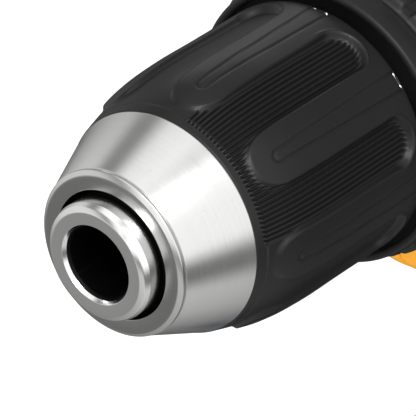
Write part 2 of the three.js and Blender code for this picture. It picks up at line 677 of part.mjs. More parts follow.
const bodyShell = new THREE.Group();
drill.add(bodyShell);
add(bodyShell, "housing_left", housing(1), yellowNylon);
add(bodyShell, "housing_right", housing(-1), yellowNylon);
add(bodyShell, "grip_left", rubberGrip(1), rubber);
add(bodyShell, "grip_right", rubberGrip(-1), rubber);
add(bodyShell, "lamp_lens", box(-5, 5, -46.6, -41.4, 146.4, 152.2), lensPlastic);
add(bodyShell, "trigger", trigger(), blackNylon);
add(bodyShell, "trigger_switch", triggerSwitch(), blackNylon);
add(bodyShell, "trigger_spring", coil([0, -16, TRIGGER_Z], Y, X, 3, 0.35, 13, 5, 7, 4), springSteel);
add(bodyShell, "direction_selector", directionSelector(), blackNylon);
add(bodyShell, "speed_selector", speedSelector(), blackNylon);
add(bodyShell, "shift_fork", shiftFork(), darkSteel);
add(bodyShell, "terminal_block", terminalBlock(), blackNylon);
add(bodyShell, "belt_hook", beltHook(), darkSteel);
add(bodyShell, "belt_hook_screw", beltHookScrew(), darkSteel);
SCREWS.forEach((at, i) => add(bodyShell, `housing_screw_${i + 1}`, housingScrew(at), darkSteel));

const battery = new THREE.Group();
drill.add(battery);
add(battery, "battery_tray", batteryTray(), blackNylon);
add(battery, "battery_lid", batteryLid(), blackNylon);
add(battery, "cell_pack", cellPack(), cellWrap);
add(battery, "latch_button", latchButton(), yellowNylon);
add(battery, "latch_spring", coil([0, -48, 23], Y, X, 2.4, 0.35, 6, 4, 8, 4), springSteel);

export default drill;
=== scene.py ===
"""A cordless drill driver, dressed for a studio picture.

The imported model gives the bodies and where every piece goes. Each operator below makes one
group of pieces in millimetres, and puts it into the scene in metres.
"""

import json
import math

import bmesh
import bpy
import numpy as np
import openvdb as vdb
from bpy.props import FloatProperty, FloatVectorProperty, IntProperty, PointerProperty
from mathutils import Matrix, Vector


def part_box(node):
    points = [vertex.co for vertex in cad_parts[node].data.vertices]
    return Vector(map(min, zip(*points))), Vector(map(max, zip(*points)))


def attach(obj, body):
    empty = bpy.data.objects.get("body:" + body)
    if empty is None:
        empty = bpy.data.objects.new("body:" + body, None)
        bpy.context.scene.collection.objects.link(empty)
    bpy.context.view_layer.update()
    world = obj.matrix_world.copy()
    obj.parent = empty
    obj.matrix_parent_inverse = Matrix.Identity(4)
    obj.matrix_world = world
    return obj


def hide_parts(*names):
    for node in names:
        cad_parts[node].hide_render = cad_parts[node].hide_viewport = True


bl_info = {
    "name": "Cordless Drill",
    "version": (1, 0, 0),
    "blender": (4, 5, 0),
    "location": "View3D > Sidebar > Drill",
    "description": "Builds the visible pieces of a cordless drill driver around its packed frame",
    "category": "Add Mesh",
}

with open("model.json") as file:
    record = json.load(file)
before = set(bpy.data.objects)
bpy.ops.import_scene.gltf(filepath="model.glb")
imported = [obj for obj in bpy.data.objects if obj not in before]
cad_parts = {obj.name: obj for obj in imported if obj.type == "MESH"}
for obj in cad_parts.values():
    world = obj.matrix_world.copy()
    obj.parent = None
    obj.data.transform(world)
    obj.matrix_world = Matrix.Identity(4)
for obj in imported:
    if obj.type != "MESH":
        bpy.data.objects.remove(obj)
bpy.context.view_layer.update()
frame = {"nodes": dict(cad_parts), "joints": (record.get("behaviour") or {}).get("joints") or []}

MM = 0.001
TURN = 2 * math.pi


def node_box(node):
    """Lowest and highest corner of a node, in millimetres."""
    low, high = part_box(node)
    return np.array(low) / MM, np.array(high) / MM


CHUCK_LOW, CHUCK_HIGH = node_box("chuck_body")
NOSE_Y = CHUCK_LOW[1]
AXIS_Z = (CHUCK_LOW[2] + CHUCK_HIGH[2]) / 2
TRIGGER_BOX = node_box("trigger")
LAMP_BOX = node_box("lamp_lens")
LATCH_BOX = node_box("latch_button")
HOOK_SCREW_BOX = node_box("belt_hook_screw")
SPEED_BOX = node_box("speed_selector")
DIRECTION_BOX = node_box("direction_selector")


# ---------------------------------------------------------------- meshes


def put(name, vertices, faces, body, slot, material, smooth=True, replaces=()):
    """A mesh object from millimetre points, riding on a body."""
    mesh = bpy.data.meshes.new(name)
    mesh.from_pydata((np.asarray(vertices, float) * MM).tolist(), [], np.asarray(faces).tolist())
    mesh.validate()
    return place(bpy.data.objects.new(name, mesh), body, slot, material, smooth, replaces)


def place(piece, body, slot, material, smooth=True, replaces=()):
    """Links a piece, gives it its finish and lets it ride on a body."""
    if piece.name not in bpy.context.scene.collection.objects:
        bpy.context.scene.collection.objects.link(piece)
    if material:
        piece.data.materials.clear()
        piece.data.materials.append(material)
    if smooth:
        piece.data.shade_smooth()
    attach(piece, body)
    if replaces:
        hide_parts(*replaces)
    return piece


def sharpen(piece, degrees):
    """Keeps edges steeper than an angle crisp under smooth shading."""
    edges = piece.data
    bm = bmesh.new()
    bm.from_mesh(edges)
    for edge in bm.edges:
        edge.smooth = not (edge.is_manifold and edge.calc_face_angle(0) > math.radians(degrees))
    bm.to_mesh(edges)
    bm.free()


def corner_arc(before, corner, after, radius, steps):
    """Points of the arc that rounds one corner of an outline."""
    a, b, c = (np.asarray(p, float)[:2] for p in (before, corner, after))
    to_a, to_c = a - b, c - b
    len_a, len_c = np.linalg.norm(to_a), np.linalg.norm(to_c)
    to_a, to_c = to_a / len_a, to_c / len_c
    half = math.acos(float(np.clip(to_a @ to_c, -1, 1))) / 2
    if radius <= 0 or half > math.pi / 2 - 0.02:
        return [tuple(b)]
    reach = min(radius / math.tan(half), 0.48 * len_a, 0.48 * len_c)
    radius = reach * math.tan(half)
    middle = (to_a + to_c) / np.linalg.norm(to_a + to_c)
    centre = b + middle * (radius / math.sin(half))
    start, end = b + to_a * reach - centre, b + to_c * reach - centre
    sweep = math.atan2(start[0] * end[1] - start[1] * end[0], float(start @ end))
    return [
        tuple(
            centre
            + np.array(
                [
                    start[0] * math.cos(t) - start[1] * math.sin(t),
                    start[0] * math.sin(t) + start[1] * math.cos(t),
                ]
            )
        )
        for t in np.linspace(0, sweep, steps + 1)
    ]


def rounded(outline, steps=4):
    """A closed outline of (u, v, corner radius) points with its corners rounded."""
    out = []
    count = len(outline)
    for i, point in enumerate(outline):
        radius = point[2] if len(point) > 2 else 0
        out += corner_arc(outline[i - 1], point, outline[(i + 1) % count], radius, steps)
    return out


def ring_faces(rows, columns):
    """Quads of a grid that closes on itself both ways."""
    r, c = np.meshgrid(np.arange(rows), np.arange(columns), indexing="ij")
    nr, nc = (r + 1) % rows, (c + 1) % columns
    quads = [r * columns + c, r * columns + nc, nr * columns + nc, nr * columns + c]
    return np.stack(quads, -1).reshape(-1, 4)


def about_axis(radius, s, angle):
    """Points at a radius and a station, at an angle from straight up towards +X."""
    shape = np.broadcast(radius, s, angle).shape
    x = np.broadcast_to(radius * np.sin(angle), shape)
    y = np.broadcast_to(NOSE_Y + np.asarray(s, float), shape)
    z = np.broadcast_to(AXIS_Z + radius * np.cos(angle), shape)
    return np.stack([x, y, z], -1).reshape(-1, 3)


def outward(vertices, faces):
    """Faces turned so that they look out of a closed mesh."""
    p = np.asarray(vertices, float)
    f = np.asarray(faces)
    a, b, c = p[f[:, 0]], p[f[:, 1]], p[f[:, 2]]
    volume = np.einsum("ij,ij->i", a, np.cross(b, c)).sum()
    if f.shape[1] == 4:
        d = p[f[:, 3]]
        volume += np.einsum("ij,ij->i", a, np.cross(c, d)).sum()
    return f if volume > 0 else f[:, ::-1]


def turned(name, outline, body, slot, material, facets=160, steps=4, replaces=()):
    """A piece turned about the spindle's axis from an outline of (radius, station, corner)."""
    profile = np.array(rounded(outline, steps))
    angle = np.arange(facets) * TURN / facets
    vertices = about_axis(profile[:, :1], profile[:, 1:2], angle[None, :])
    faces = outward(vertices, ring_faces(len(profile), facets))
    piece = put(name, vertices, faces, body, slot, material, replaces=replaces)
    sharpen(piece, 50)
    return piece


def apply_modifiers(piece):
    """Bakes a piece's modifiers into its mesh."""
    depsgraph = bpy.context.evaluated_depsgraph_get()
    baked = bpy.data.meshes.new_from_object(piece.evaluated_get(depsgraph))
    piece.modifiers.clear()
    piece.data = baked


def carve(piece, cutters):
    """Cuts pieces out of another, exactly, and removes the cutters."""
    for cutter in cutters:
        cut = piece.modifiers.new("cut", "BOOLEAN")
        cut.operation = "DIFFERENCE"
        cut.solver = "EXACT"
        cut.object = cutter
    apply_modifiers(piece)
    for cutter in cutters:
        bpy.data.objects.remove(cutter)


def bar(name, start, end, radius, facets=32):
    """A loose cylinder between two millimetre points, used as a cutter."""
    bm = bmesh.new()
    start, end = Vector(start) * MM, Vector(end) * MM
    along = end - start
    bmesh.ops.create_cone(
        bm,
        cap_ends=True,
        segments=facets,
        radius1=radius * MM,
        radius2=radius * MM,
        depth=along.length,
        matrix=Matrix.Translation((start + end) / 2)
        @ along.to_track_quat("Z", "Y").to_matrix().to_4x4(),
    )
    mesh = bpy.data.meshes.new(name)
    bm.to_mesh(mesh)
    bm.free()
    piece = bpy.data.objects.new(name, mesh)
    bpy.context.scene.collection.objects.link(piece)
    return piece


def smooth_curve(points, at):
    """Value at each place of a smooth curve through (place, value) points."""
    x, y = np.array(points, float).T
    slope = np.gradient(y, x)
    i = np.clip(np.searchsorted(x, at) - 1, 0, len(x) - 2)
    h = x[i + 1] - x[i]
    t = np.clip((at - x[i]) / h, 0, 1)
    return (
        (2 * t**3 - 3 * t**2 + 1) * y[i]
        + (t**3 - 2 * t**2 + t) * h * slope[i]
        + (3 * t**2 - 2 * t**3) * y[i + 1]
        + (t**3 - t**2) * h * slope[i + 1]
    )


def step_up(value, low, high):
    """0 below low, 1 above high and smooth between."""
    t = np.clip((value - low) / (high - low), 0, 1)
    return t * t * (3 - 2 * t)


# ---------------------------------------------------------------- moulded shapes
# A moulded shape is a distance field on a grid: negative inside, in millimetres.


class Space:
    """A box of space sampled at an even step."""

    def __init__(self, low, high, step):
        self.low = np.array(low, float)
        self.step = step
        axes = [np.arange(a, b + step, step, dtype=np.float32) for a, b in zip(low, high)]
        self.x, self.y, self.z = np.meshgrid(*axes, indexing="ij", sparse=True)

    def box(self, low, high, corner=0.0):
        """A box with rounded edges."""
        gaps = []
        for value, a, b in zip((self.x, self.y, self.z), low, high):
            gaps.append(np.abs(value - (a + b) / 2) - (b - a) / 2 + corner)
        gx, gy, gz = gaps
        outside = np.sqrt(
            np.maximum(gx, 0) ** 2 + np.maximum(gy, 0) ** 2 + np.maximum(gz, 0) ** 2
        )
        return outside + np.minimum(np.maximum(np.maximum(gx, gy), gz), 0) - corner

    def rod(self, start, end, radius):
        """A capped cylinder between two points."""
        start, end = np.array(start, float), np.array(end, float)
        length = np.linalg.norm(end - start)
        ux, uy, uz = (end - start) / length
        dx, dy, dz = self.x - start[0], self.y - start[1], self.z - start[2]
        along = dx * ux + dy * uy + dz * uz
        away = np.sqrt(np.maximum(dx * dx + dy * dy + dz * dz - along**2, 0))
        return np.maximum(away - radius, np.abs(along - length / 2) - length / 2)

    def about_axis(self):
        """Distance from the spindle's axis, and station."""
        return np.sqrt(self.x**2 + (self.z - AXIS_Z) ** 2), self.y - NOSE_Y

    def upright(self, sections, grow=0.0):
        """A body of level sections: height, middle y, half depth, half width, squareness."""
        z = self.z
        return self._sections(sections, z, self.x, self.y, grow)

    def along_barrel(self, sections, last_edge):
        """A body of sections across the axis: station, lift, half height, half width, squareness."""
        return self._sections(sections, self.y - NOSE_Y, self.x, self.z - AXIS_Z, 0.0, last_edge)

    def _sections(self, sections, place, across, other, grow, last_edge=0.01):
        order = sorted(sections)
        columns = list(zip(*order))
        middle, deep, wide, power = (
            smooth_curve(list(zip(columns[0], c)), place) for c in columns[1:]
        )
        wide, deep = wide + grow, deep + grow
        u, v = np.abs(across) / wide, np.abs(other - middle) / deep
        reach = (u**power + v**power) ** (1 / power)
        side = (reach - 1) * np.minimum(wide, deep)
        side = blend_max(side, place - order[-1][0] - grow, last_edge)
        return np.maximum(side, order[0][0] - grow - place)

    def side_region(self, outline, corner=0.0):
        """Everything that a side view's outline of (y, z) points covers, whatever its x."""
        points = np.array(rounded([(*p, corner) for p in outline], 5))
        y, z = self.y[0, :, 0][:, None], self.z[0, 0, :][None, :]
        best = np.full((y.shape[0], z.shape[1]), 1e9)
        inside = np.zeros(best.shape, bool)
        for (ay, az), (by, bz) in zip(points, np.roll(points, -1, 0)):
            ey, ez = by - ay, bz - az
            t = ((y - ay) * ey + (z - az) * ez) / max(ey * ey + ez * ez, 1e-12)
            t = np.clip(t, 0, 1)
            best = np.minimum(best, (y - ay - t * ey) ** 2 + (z - az - t * ez) ** 2)
            if ez:
                crosses = (az > z) != (bz > z)
                inside ^= crosses & (y < ey * (z - az) / ez + ay)
        distance = np.sqrt(best) * np.where(inside, -1, 1)
        return distance.astype(np.float32)[None, :, :]

    def mesh(self, field):
        """Millimetre vertices and quads of the field's surface."""
        full = np.ascontiguousarray(
            np.broadcast_to(
                field, (self.x.shape[0], self.y.shape[1], self.z.shape[2])
            ).astype(np.float32)
        )
        edge = self.step
        full[0], full[-1] = edge, edge
        full[:, 0], full[:, -1] = edge, edge
        full[:, :, 0], full[:, :, -1] = edge, edge
        grid = vdb.FloatGrid(edge)
        grid.copyFromArray(full)
        points, quads = grid.convertToQuads()
        vertices = points * self.step + self.low
        return vertices, outward(vertices, quads.astype(int))


def blend_min(a, b, k):
    """Joins two fields with a fillet of about k millimetres."""
    h = np.maximum(k - np.abs(a - b), 0) / k
    return np.minimum(a, b) - h * h * k / 4


def blend_max(a, b, k):
    """Keeps what two fields share, its edges rounded by about k millimetres."""
    return -blend_min(-a, -b, k)


def cut_away(field, tool, k=0.6):
    """Removes a tool from a field, the new edges rounded by about k millimetres."""
    return blend_max(field, -tool, k)


def moulded(name, space, field, body, slot, material, mirror=False, replaces=()):
    """A piece from a field. mirror swaps its two sides."""
    vertices, faces = space.mesh(field)
    if mirror:
        vertices = vertices * np.array([-1, 1, 1])
        faces = faces[:, ::-1]
    return put(name, vertices, faces, body, slot, material, replaces=replaces)


# ---------------------------------------------------------------- finishes


class Nodes:
    """Short calls for building one node tree."""

    def __init__(self, tree):
        self.tree = tree

    def add(self, kind, settings=None, **inputs):
        node = self.tree.nodes.new(kind)
        for key, value in (settings or {}).items():
            setattr(node, key, value)
        for key, value in inputs.items():
            self.feed(node, key.replace("_", " "), value)
        return node

    def feed(self, node, socket, value):
        target = node.inputs[int(socket)] if socket.isdigit() else node.inputs[socket]
        if isinstance(value, bpy.types.NodeSocket):
            self.tree.links.new(value, target)
        else:
            target.default_value = value

    def math(self, operation, a, b=None, clamp=False):
        node = self.tree.nodes.new("ShaderNodeMath")
        node.operation = operation
        node.use_clamp = clamp
        self.feed(node, "0", a)
        if b is not None:
            self.feed(node, "1", b)
        return node.outputs[0]

    def ramp(self, value, stops):
        """A colour ramp through (place, grey or colour) stops."""
        node = self.tree.nodes.new("ShaderNodeValToRGB")
        self.feed(node, "0", value)
        elements = node.color_ramp.elements
        while len(elements) < len(stops):
            elements.new(1.0)
        for element, (place_, shade) in zip(elements, stops):
            element.position = place_
            grey = (shade,) * 3 if isinstance(shade, (int, float)) else tuple(shade)
            element.color = (*grey, 1.0)
        return node.outputs[0]

    def mix(self, factor, a, b, blend="MIX"):
        """Mixes two colours."""
        node = self.tree.nodes.new("ShaderNodeMix")
        node.data_type = "RGBA"
        node.blend_type = blend
        self.feed(node, "0", factor)
        for socket, value in (("6", a), ("7", b)):
            flat = not isinstance(value, bpy.types.NodeSocket)
            self.feed(node, socket, (*value[:3], 1.0) if flat else value)
        return node.outputs[2]


def effect(name, inputs, outputs, build):
    """A shader node group of values and colours, made once."""
    if name in bpy.data.node_groups:
        return bpy.data.node_groups[name]
    tree = bpy.data.node_groups.new(name, "ShaderNodeTree")
    for label, kind, default in inputs:
        socket = tree.interface.new_socket(label, in_out="INPUT", socket_type=kind)
        socket.default_value = default
    for label, kind in outputs:
        tree.interface.new_socket(label, in_out="OUTPUT", socket_type=kind)
    nodes = Nodes(tree)
    given = tree.nodes.new("NodeGroupInput")
    result = tree.nodes.new("NodeGroupOutput")
    for label, value in build(nodes, given.outputs).items():
        nodes.feed(result, label, value)
    return tree


VALUE = "NodeSocketFloat"


def moulded_grain():
    """The fine spark-eroded grain of moulded nylon, with slow changes of tone."""

    def build(nodes, given):
        place_ = nodes.add("ShaderNodeTexCoord").outputs["Object"]
        fine = nodes.add("ShaderNodeTexNoise", Vector=place_, Scale=given["Scale"], Detail=3.0)
        broad = nodes.add("ShaderNodeTexNoise", Vector=place_, Scale=38.0, Detail=2.0)
        flow = nodes.add("ShaderNodeTexNoise", Vector=place_, Scale=9.0, Detail=4.0)
        tone = nodes.ramp(broad.outputs["Fac"], [(0.3, 0.0), (0.7, 1.0)])
        return {
            "Height": nodes.math("MULTIPLY", fine.outputs["Fac"], given["Depth"]),
            "Tone": tone,
            "Haze": nodes.ramp(flow.outputs["Fac"], [(0.38, 0.0), (0.68, 1.0)]),
        }

    return effect(
        "Moulded grain",
        [("Scale", VALUE, 2600.0), ("Depth", VALUE, 1.0)],
        [("Height", VALUE), ("Tone", VALUE), ("Haze", VALUE)],
        build,
    )


def tool_marks():
    """Fine rings that a turning tool leaves, about the spindle's axis."""

    def build(nodes, given):
        place_ = nodes.add("ShaderNodeTexCoord").outputs["Object"]
        parts = nodes.add("ShaderNodeSeparateXYZ", Vector=place_).outputs
        height = nodes.math("SUBTRACT", parts["Z"], AXIS_Z * MM)
        squares = nodes.math(
            "ADD", nodes.math("MULTIPLY", parts["X"], parts["X"]), nodes.math("MULTIPLY", height, height)
        )
        radius = nodes.math("SQRT", squares)
        angle = nodes.math("ARCTAN2", parts["X"], height)
        lines = nodes.add(
            "ShaderNodeCombineXYZ",
            X=nodes.math("MULTIPLY", radius, given["Spacing"]),
            Y=nodes.math("MULTIPLY", parts["Y"], given["Spacing"]),
            Z=nodes.math("MULTIPLY", angle, 0.35),
        ).outputs[0]
        fine = nodes.add("ShaderNodeTexNoise", Vector=lines, Scale=1.0, Detail=4.0, Roughness=0.65)
        wide = nodes.add("ShaderNodeTexNoise", Vector=lines, Scale=0.16, Detail=2.0)
        return {
            "Height": fine.outputs["Fac"],
            "Shade": nodes.ramp(fine.outputs["Fac"], [(0.3, 0.0), (0.7, 1.0)]),
            "Band": nodes.ramp(wide.outputs["Fac"], [(0.35, 0.0), (0.65, 1.0)]),
        }

    return effect(
        "Tool marks",
        [("Spacing", VALUE, 9000.0)],
        [("Height", VALUE), ("Shade", VALUE), ("Band", VALUE)],
        build,
    )


def edge_wear():
    """A mask that is 1 on worn edges, broken up by noise."""

    def build(nodes, given):
        place_ = nodes.add("ShaderNodeTexCoord").outputs["Object"]
        point = nodes.add("ShaderNodeNewGeometry").outputs["Pointiness"]
        noise = nodes.add("ShaderNodeTexNoise", Vector=place_, Scale=420.0, Detail=5.0)
        lift = nodes.math("MULTIPLY", nodes.math("SUBTRACT", noise.outputs["Fac"], 0.5), 0.06)
        raised = nodes.math("ADD", point, lift)
        mask = nodes.ramp(raised, [(0.53, 0.0), (0.6, 1.0)])
        return {"Mask": nodes.math("MULTIPLY", mask, given["Amount"], clamp=True)}

    return effect("Edge wear", [("Amount", VALUE, 1.0)], [("Mask", VALUE)], build)


def fine_scratches():
    """Sparse hairline scratches and rub marks from handling."""

    def build(nodes, given):
        place_ = nodes.add("ShaderNodeTexCoord").outputs["Object"]
        along = nodes.add("ShaderNodeMapping", {"vector_type": "POINT"}, Vector=place_)
        along.inputs["Scale"].default_value = (1.0, 0.06, 0.5)
        along.inputs["Rotation"].default_value = (0.3, 0.0, 0.2)
        lines = nodes.add("ShaderNodeTexNoise", Vector=along.outputs[0], Scale=given["Scale"], Detail=2.0)
        middle = nodes.math("ABSOLUTE", nodes.math("SUBTRACT", lines.outputs["Fac"], 0.5))
        thin = nodes.ramp(middle, [(0.0, 1.0), (0.004, 0.0)])
        where = nodes.add("ShaderNodeTexNoise", Vector=place_, Scale=70.0, Detail=2.0)
        sparse = nodes.ramp(where.outputs["Fac"], [(0.52, 0.0), (0.62, 1.0)])
        return {"Mask": nodes.math("MULTIPLY", thin, sparse)}

    return effect("Fine scratches", [("Scale", VALUE, 300.0)], [("Mask", VALUE)], build)


def new_material(name):
    """A material with its Principled shader and node helper."""
    material = bpy.data.materials.new(name)
    material.use_nodes = True
    nodes = Nodes(material.node_tree)
    shader = material.node_tree.nodes["Principled BSDF"]
    return material, nodes, shader


def use(nodes, tree, **values):
    """Places an effect in a material."""
    node = nodes.tree.nodes.new("ShaderNodeGroup")
    node.node_tree = tree
    for key, value in values.items():
        node.inputs[key].default_value = value
    return node.outputs


def tinted(colour, factor):
    """A colour made lighter or darker."""
    return tuple(min(1.0, c * factor) for c in colour[:3])


def plastic(name, colour, rough=0.45, grain=2600.0, depth=1.0, wear=0.35, worn=None):
    """Moulded plastic or rubber: grain, slow changes of tone and gloss, rubbed edges."""
    material, nodes, shader = new_material(name)
    surface = use(nodes, moulded_grain(), Scale=grain, Depth=depth)
    edges = use(nodes, edge_wear(), Amount=wear)
    marks = use(nodes, fine_scratches(), Scale=420.0)
    base = nodes.mix(surface["Tone"], tinted(colour, 0.93), tinted(colour, 1.06))
    rubbed = nodes.mix(edges["Mask"], base, worn or tinted(colour, 1.5))
    nodes.feed(shader, "Base Color", rubbed)
    dull = nodes.math("MULTIPLY_ADD", surface["Haze"], 0.1)
    dull.node.inputs[2].default_value = rough - 0.04
    scuffed = nodes.math("MULTIPLY", marks["Mask"], 0.18)
    nodes.feed(shader, "Roughness", nodes.math("ADD", dull, scuffed, clamp=True))
    bump = nodes.add("ShaderNodeBump", Strength=0.35, Distance=0.00004, Height=surface["Height"])
    nodes.feed(shader, "Normal", bump.outputs[0])
    shader.inputs["Specular IOR Level"].default_value = 0.36
    return material


def turned_steel(name, colour, rough=0.22, spacing=9000.0, anisotropy=0.55, depth=0.000012):
    """Steel off a lathe: rings of tool marks, satin, brightest across the rings."""
    material, nodes, shader = new_material(name)
    marks = use(nodes, tool_marks(), Spacing=spacing)
    scratches = use(nodes, fine_scratches(), Scale=700.0)
    ringed = nodes.mix(marks["Shade"], tinted(colour, 0.97), tinted(colour, 1.02))
    scored = nodes.mix(scratches["Mask"], ringed, tinted(colour, 0.9))
    nodes.feed(shader, "Base Color", scored)
    shine = nodes.math("MULTIPLY_ADD", marks["Band"], 0.05)
    shine.node.inputs[2].default_value = rough
    nodes.feed(shader, "Roughness", shine)
    bump = nodes.add("ShaderNodeBump", Strength=0.12, Distance=depth, Height=marks["Height"])
    nodes.feed(shader, "Normal", bump.outputs[0])
    shader.inputs["Metallic"].default_value = 1.0
    shader.inputs["Anisotropic"].default_value = anisotropy
    shader.inputs["Anisotropic Rotation"].default_value = 0.25
    tangent = nodes.add("ShaderNodeTangent", {"direction_type": "RADIAL", "axis": "Y"})
    nodes.feed(shader, "Tangent", tangent.outputs[0])
    return material


def plain_metal(name, colour, rough=0.35, grain=1400.0, depth=0.00002):
    """Pressed, sintered or drawn metal with a fine cast grain."""
    material, nodes, shader = new_material(name)
    surface = use(nodes, moulded_grain(), Scale=grain, Depth=1.0)
    edges = use(nodes, edge_wear(), Amount=0.8)
    base = nodes.mix(surface["Tone"], tinted(colour, 0.88), tinted(colour, 1.08))
    nodes.feed(shader, "Base Color", nodes.mix(edges["Mask"], base, tinted(colour, 1.6)))
    dull = nodes.math("MULTIPLY_ADD", surface["Haze"], 0.12)
    dull.node.inputs[2].default_value = rough
    nodes.feed(shader, "Roughness", dull)
    bump = nodes.add("ShaderNodeBump", Strength=0.4, Distance=depth, Height=surface["Height"])
    nodes.feed(shader, "Normal", bump.outputs[0])
    shader.inputs["Metallic"].default_value = 1.0
    return material


def clear_lens(name):
    """Clear moulded plastic, faintly flawed."""
    material, nodes, shader = new_material(name)
    surface = use(nodes, moulded_grain(), Scale=600.0, Depth=0.4)
    shader.inputs["Base Color"].default_value = (0.93, 0.96, 1.0, 1.0)
    shader.inputs["Transmission Weight"].default_value = 0.85
    shader.inputs["IOR"].default_value = 1.49
    rough = nodes.math("MULTIPLY_ADD", surface["Haze"], 0.05)
    rough.node.inputs[2].default_value = 0.06
    nodes.feed(shader, "Roughness", rough)
    bump = nodes.add("ShaderNodeBump", Strength=0.1, Distance=0.00003, Height=surface["Height"])
    nodes.feed(shader, "Normal", bump.outputs[0])
    return material


FINISHES = {}


def make_finishes(settings):
    """Every finish of the drill, by name."""
    black = tuple(settings.black)
    FINISHES.update(
        steel=turned_steel("Turned steel", tuple(settings.steel)),
        ring=turned_steel("Faced steel", tinted(tuple(settings.steel), 0.66)),
        tube=turned_steel("Polished tube", tinted(tuple(settings.steel), 1.2), rough=0.16, anisotropy=0.4),
        hardened=turned_steel("Hardened steel", (0.1, 0.1, 0.105), rough=0.32, anisotropy=0.2),
        # Painted shade: near-black metal laid on the chuck's bore, on the tube behind the cone's front ring
        # and on the cone's inner wall, where the steel lies in shade
        bore=plain_metal("Bore painted shade", (0.022, 0.022, 0.023), rough=0.42),
        pressed=plain_metal("Pressed steel", (0.55, 0.55, 0.56), rough=0.3),
        hook=plain_metal("Blackened steel", (0.12, 0.12, 0.125), rough=0.34),
        sintered=plain_metal("Sintered iron", (0.33, 0.33, 0.34), rough=0.45, grain=900.0),
        copper=plain_metal("Enamelled copper", (0.62, 0.27, 0.12), rough=0.32),
        wire=plain_metal("Spring wire", (0.6, 0.6, 0.62), rough=0.25),
        sleeve=plastic("Sleeve nylon", black, rough=0.37, grain=2400.0, depth=0.8, wear=0.12),
        collar=plastic("Collar nylon", black, rough=0.46, grain=2400.0, wear=0.12),
        black=plastic("Black nylon", black, rough=0.46, wear=0.2),
        pack=plastic("Pack nylon", black, rough=0.5, grain=1500.0, depth=1.6, wear=0.25),
        rubber=plastic("Grip rubber", tinted(black, 0.9), rough=0.66, grain=1300.0, depth=2.4, wear=0.1),
        yellow=plastic(
            "Yellow nylon", tuple(settings.yellow), rough=0.36, grain=1900.0, wear=0.25,
            worn=tinted(tuple(settings.yellow), 1.12),
        ),
        wrap=plastic("Cell wrap", (0.1, 0.25, 0.52), rough=0.3, wear=0.1),
        white=plastic("White print", (0.8, 0.8, 0.78), rough=0.5, wear=0.0),
        lens=clear_lens("Clear lens"),
    )


# ---------------------------------------------------------------- settings


class DrillSettings(bpy.types.PropertyGroup):
    """Sizes in millimetres and colours that a user would change."""

    yellow: FloatVectorProperty(
        name="Yellow", description="Colour of the nylon housing", subtype="COLOR",
        size=3, min=0, max=1, default=(0.93, 0.4, 0.012),
    )
    black: FloatVectorProperty(
        name="Black", description="Colour of the sleeve, the collar and the pack", subtype="COLOR",
        size=3, min=0, max=1, default=(0.01, 0.01, 0.0108),
    )
    steel: FloatVectorProperty(
        name="Steel", description="Colour of the turned steel", subtype="COLOR",
        size=3, min=0, max=1, default=(0.8, 0.8, 0.79),
    )
    channels: IntProperty(
        name="Channels", description="Recesses round the grip sleeve", default=8, min=4, max=12,
    )
    phase: FloatProperty(
        name="Sleeve angle", description="Angle of the first pad from straight up, in degrees",
        default=4.2, min=-45, max=45,
    )
    rib_pitch: FloatProperty(
        name="Rib pitch", description="Angle between the sleeve's fine ribs, in degrees",
        default=2.25, min=1, max=9,
    )
    rib_height: FloatProperty(
        name="Rib height", description="Height of the sleeve's fine ribs, in millimetres",
        default=0.72, min=0, max=1,
    )
    collar_ribs: IntProperty(
        name="Collar ribs", description="Blocks round the torque collar", default=30, min=12, max=60,
    )
    detail: FloatProperty(
        name="Moulding step", description="Grid step of the moulded shapes, in millimetres",
        default=0.62, min=0.4, max=2,
    )


def settings_of(context):
    return context.scene.drill


class Maker:
    """What every operator of the drill shares."""

    bl_options = {"REGISTER"}

    def execute(self, context):
        self.make(settings_of(context))
        return {"FINISHED"}


# ---------------------------------------------------------------- stage

VIEW_AZIMUTH, VIEW_ELEVATION = 38.3, 30.1
VIEW_DISTANCE = 406.0  # along the view, to the middle of the chuck's front face
VIEW_LENS = 216.3
FACE_IN_VIEW = (-0.2724, -0.1380)  # place of that face, in picture widths right and up of the middle


# Brightness of the light tent round the drill's length: (degrees from overhead towards +X, shade).
TENT = [
    (-180, 0.3), (-150, 0.18), (-120, 0.2), (-98, 0.5), (-75, 0.56), (-60, 0.52), (-47, 0.2), (-37, 0.2),
    (-22, 0.76), (2, 0.85), (17, 0.52),
    (32, 0.86), (92, 0.86), (107, 0.16), (119, 0.13), (134, 0.46), (158, 0.4), (180, 0.3),
]
BEHIND = 0.24  # how much of that the tent gives behind the drill


def area_light(name, place_, aim, size, watts):
    """A soft box at a millimetre place, aimed at another."""
    light = bpy.data.lights.new(name, "AREA")
    light.shape = "RECTANGLE"
    light.size, light.size_y = size[0] * MM, size[1] * MM
    light.energy = watts
    lamp = bpy.data.objects.new(name, light)
    bpy.context.scene.collection.objects.link(lamp)
    lamp.location = Vector(place_) * MM
    lamp.rotation_mode = "QUATERNION"
    lamp.rotation_quaternion = (Vector(aim) - Vector(place_)).to_track_quat("-Z", "Y")
    return lamp


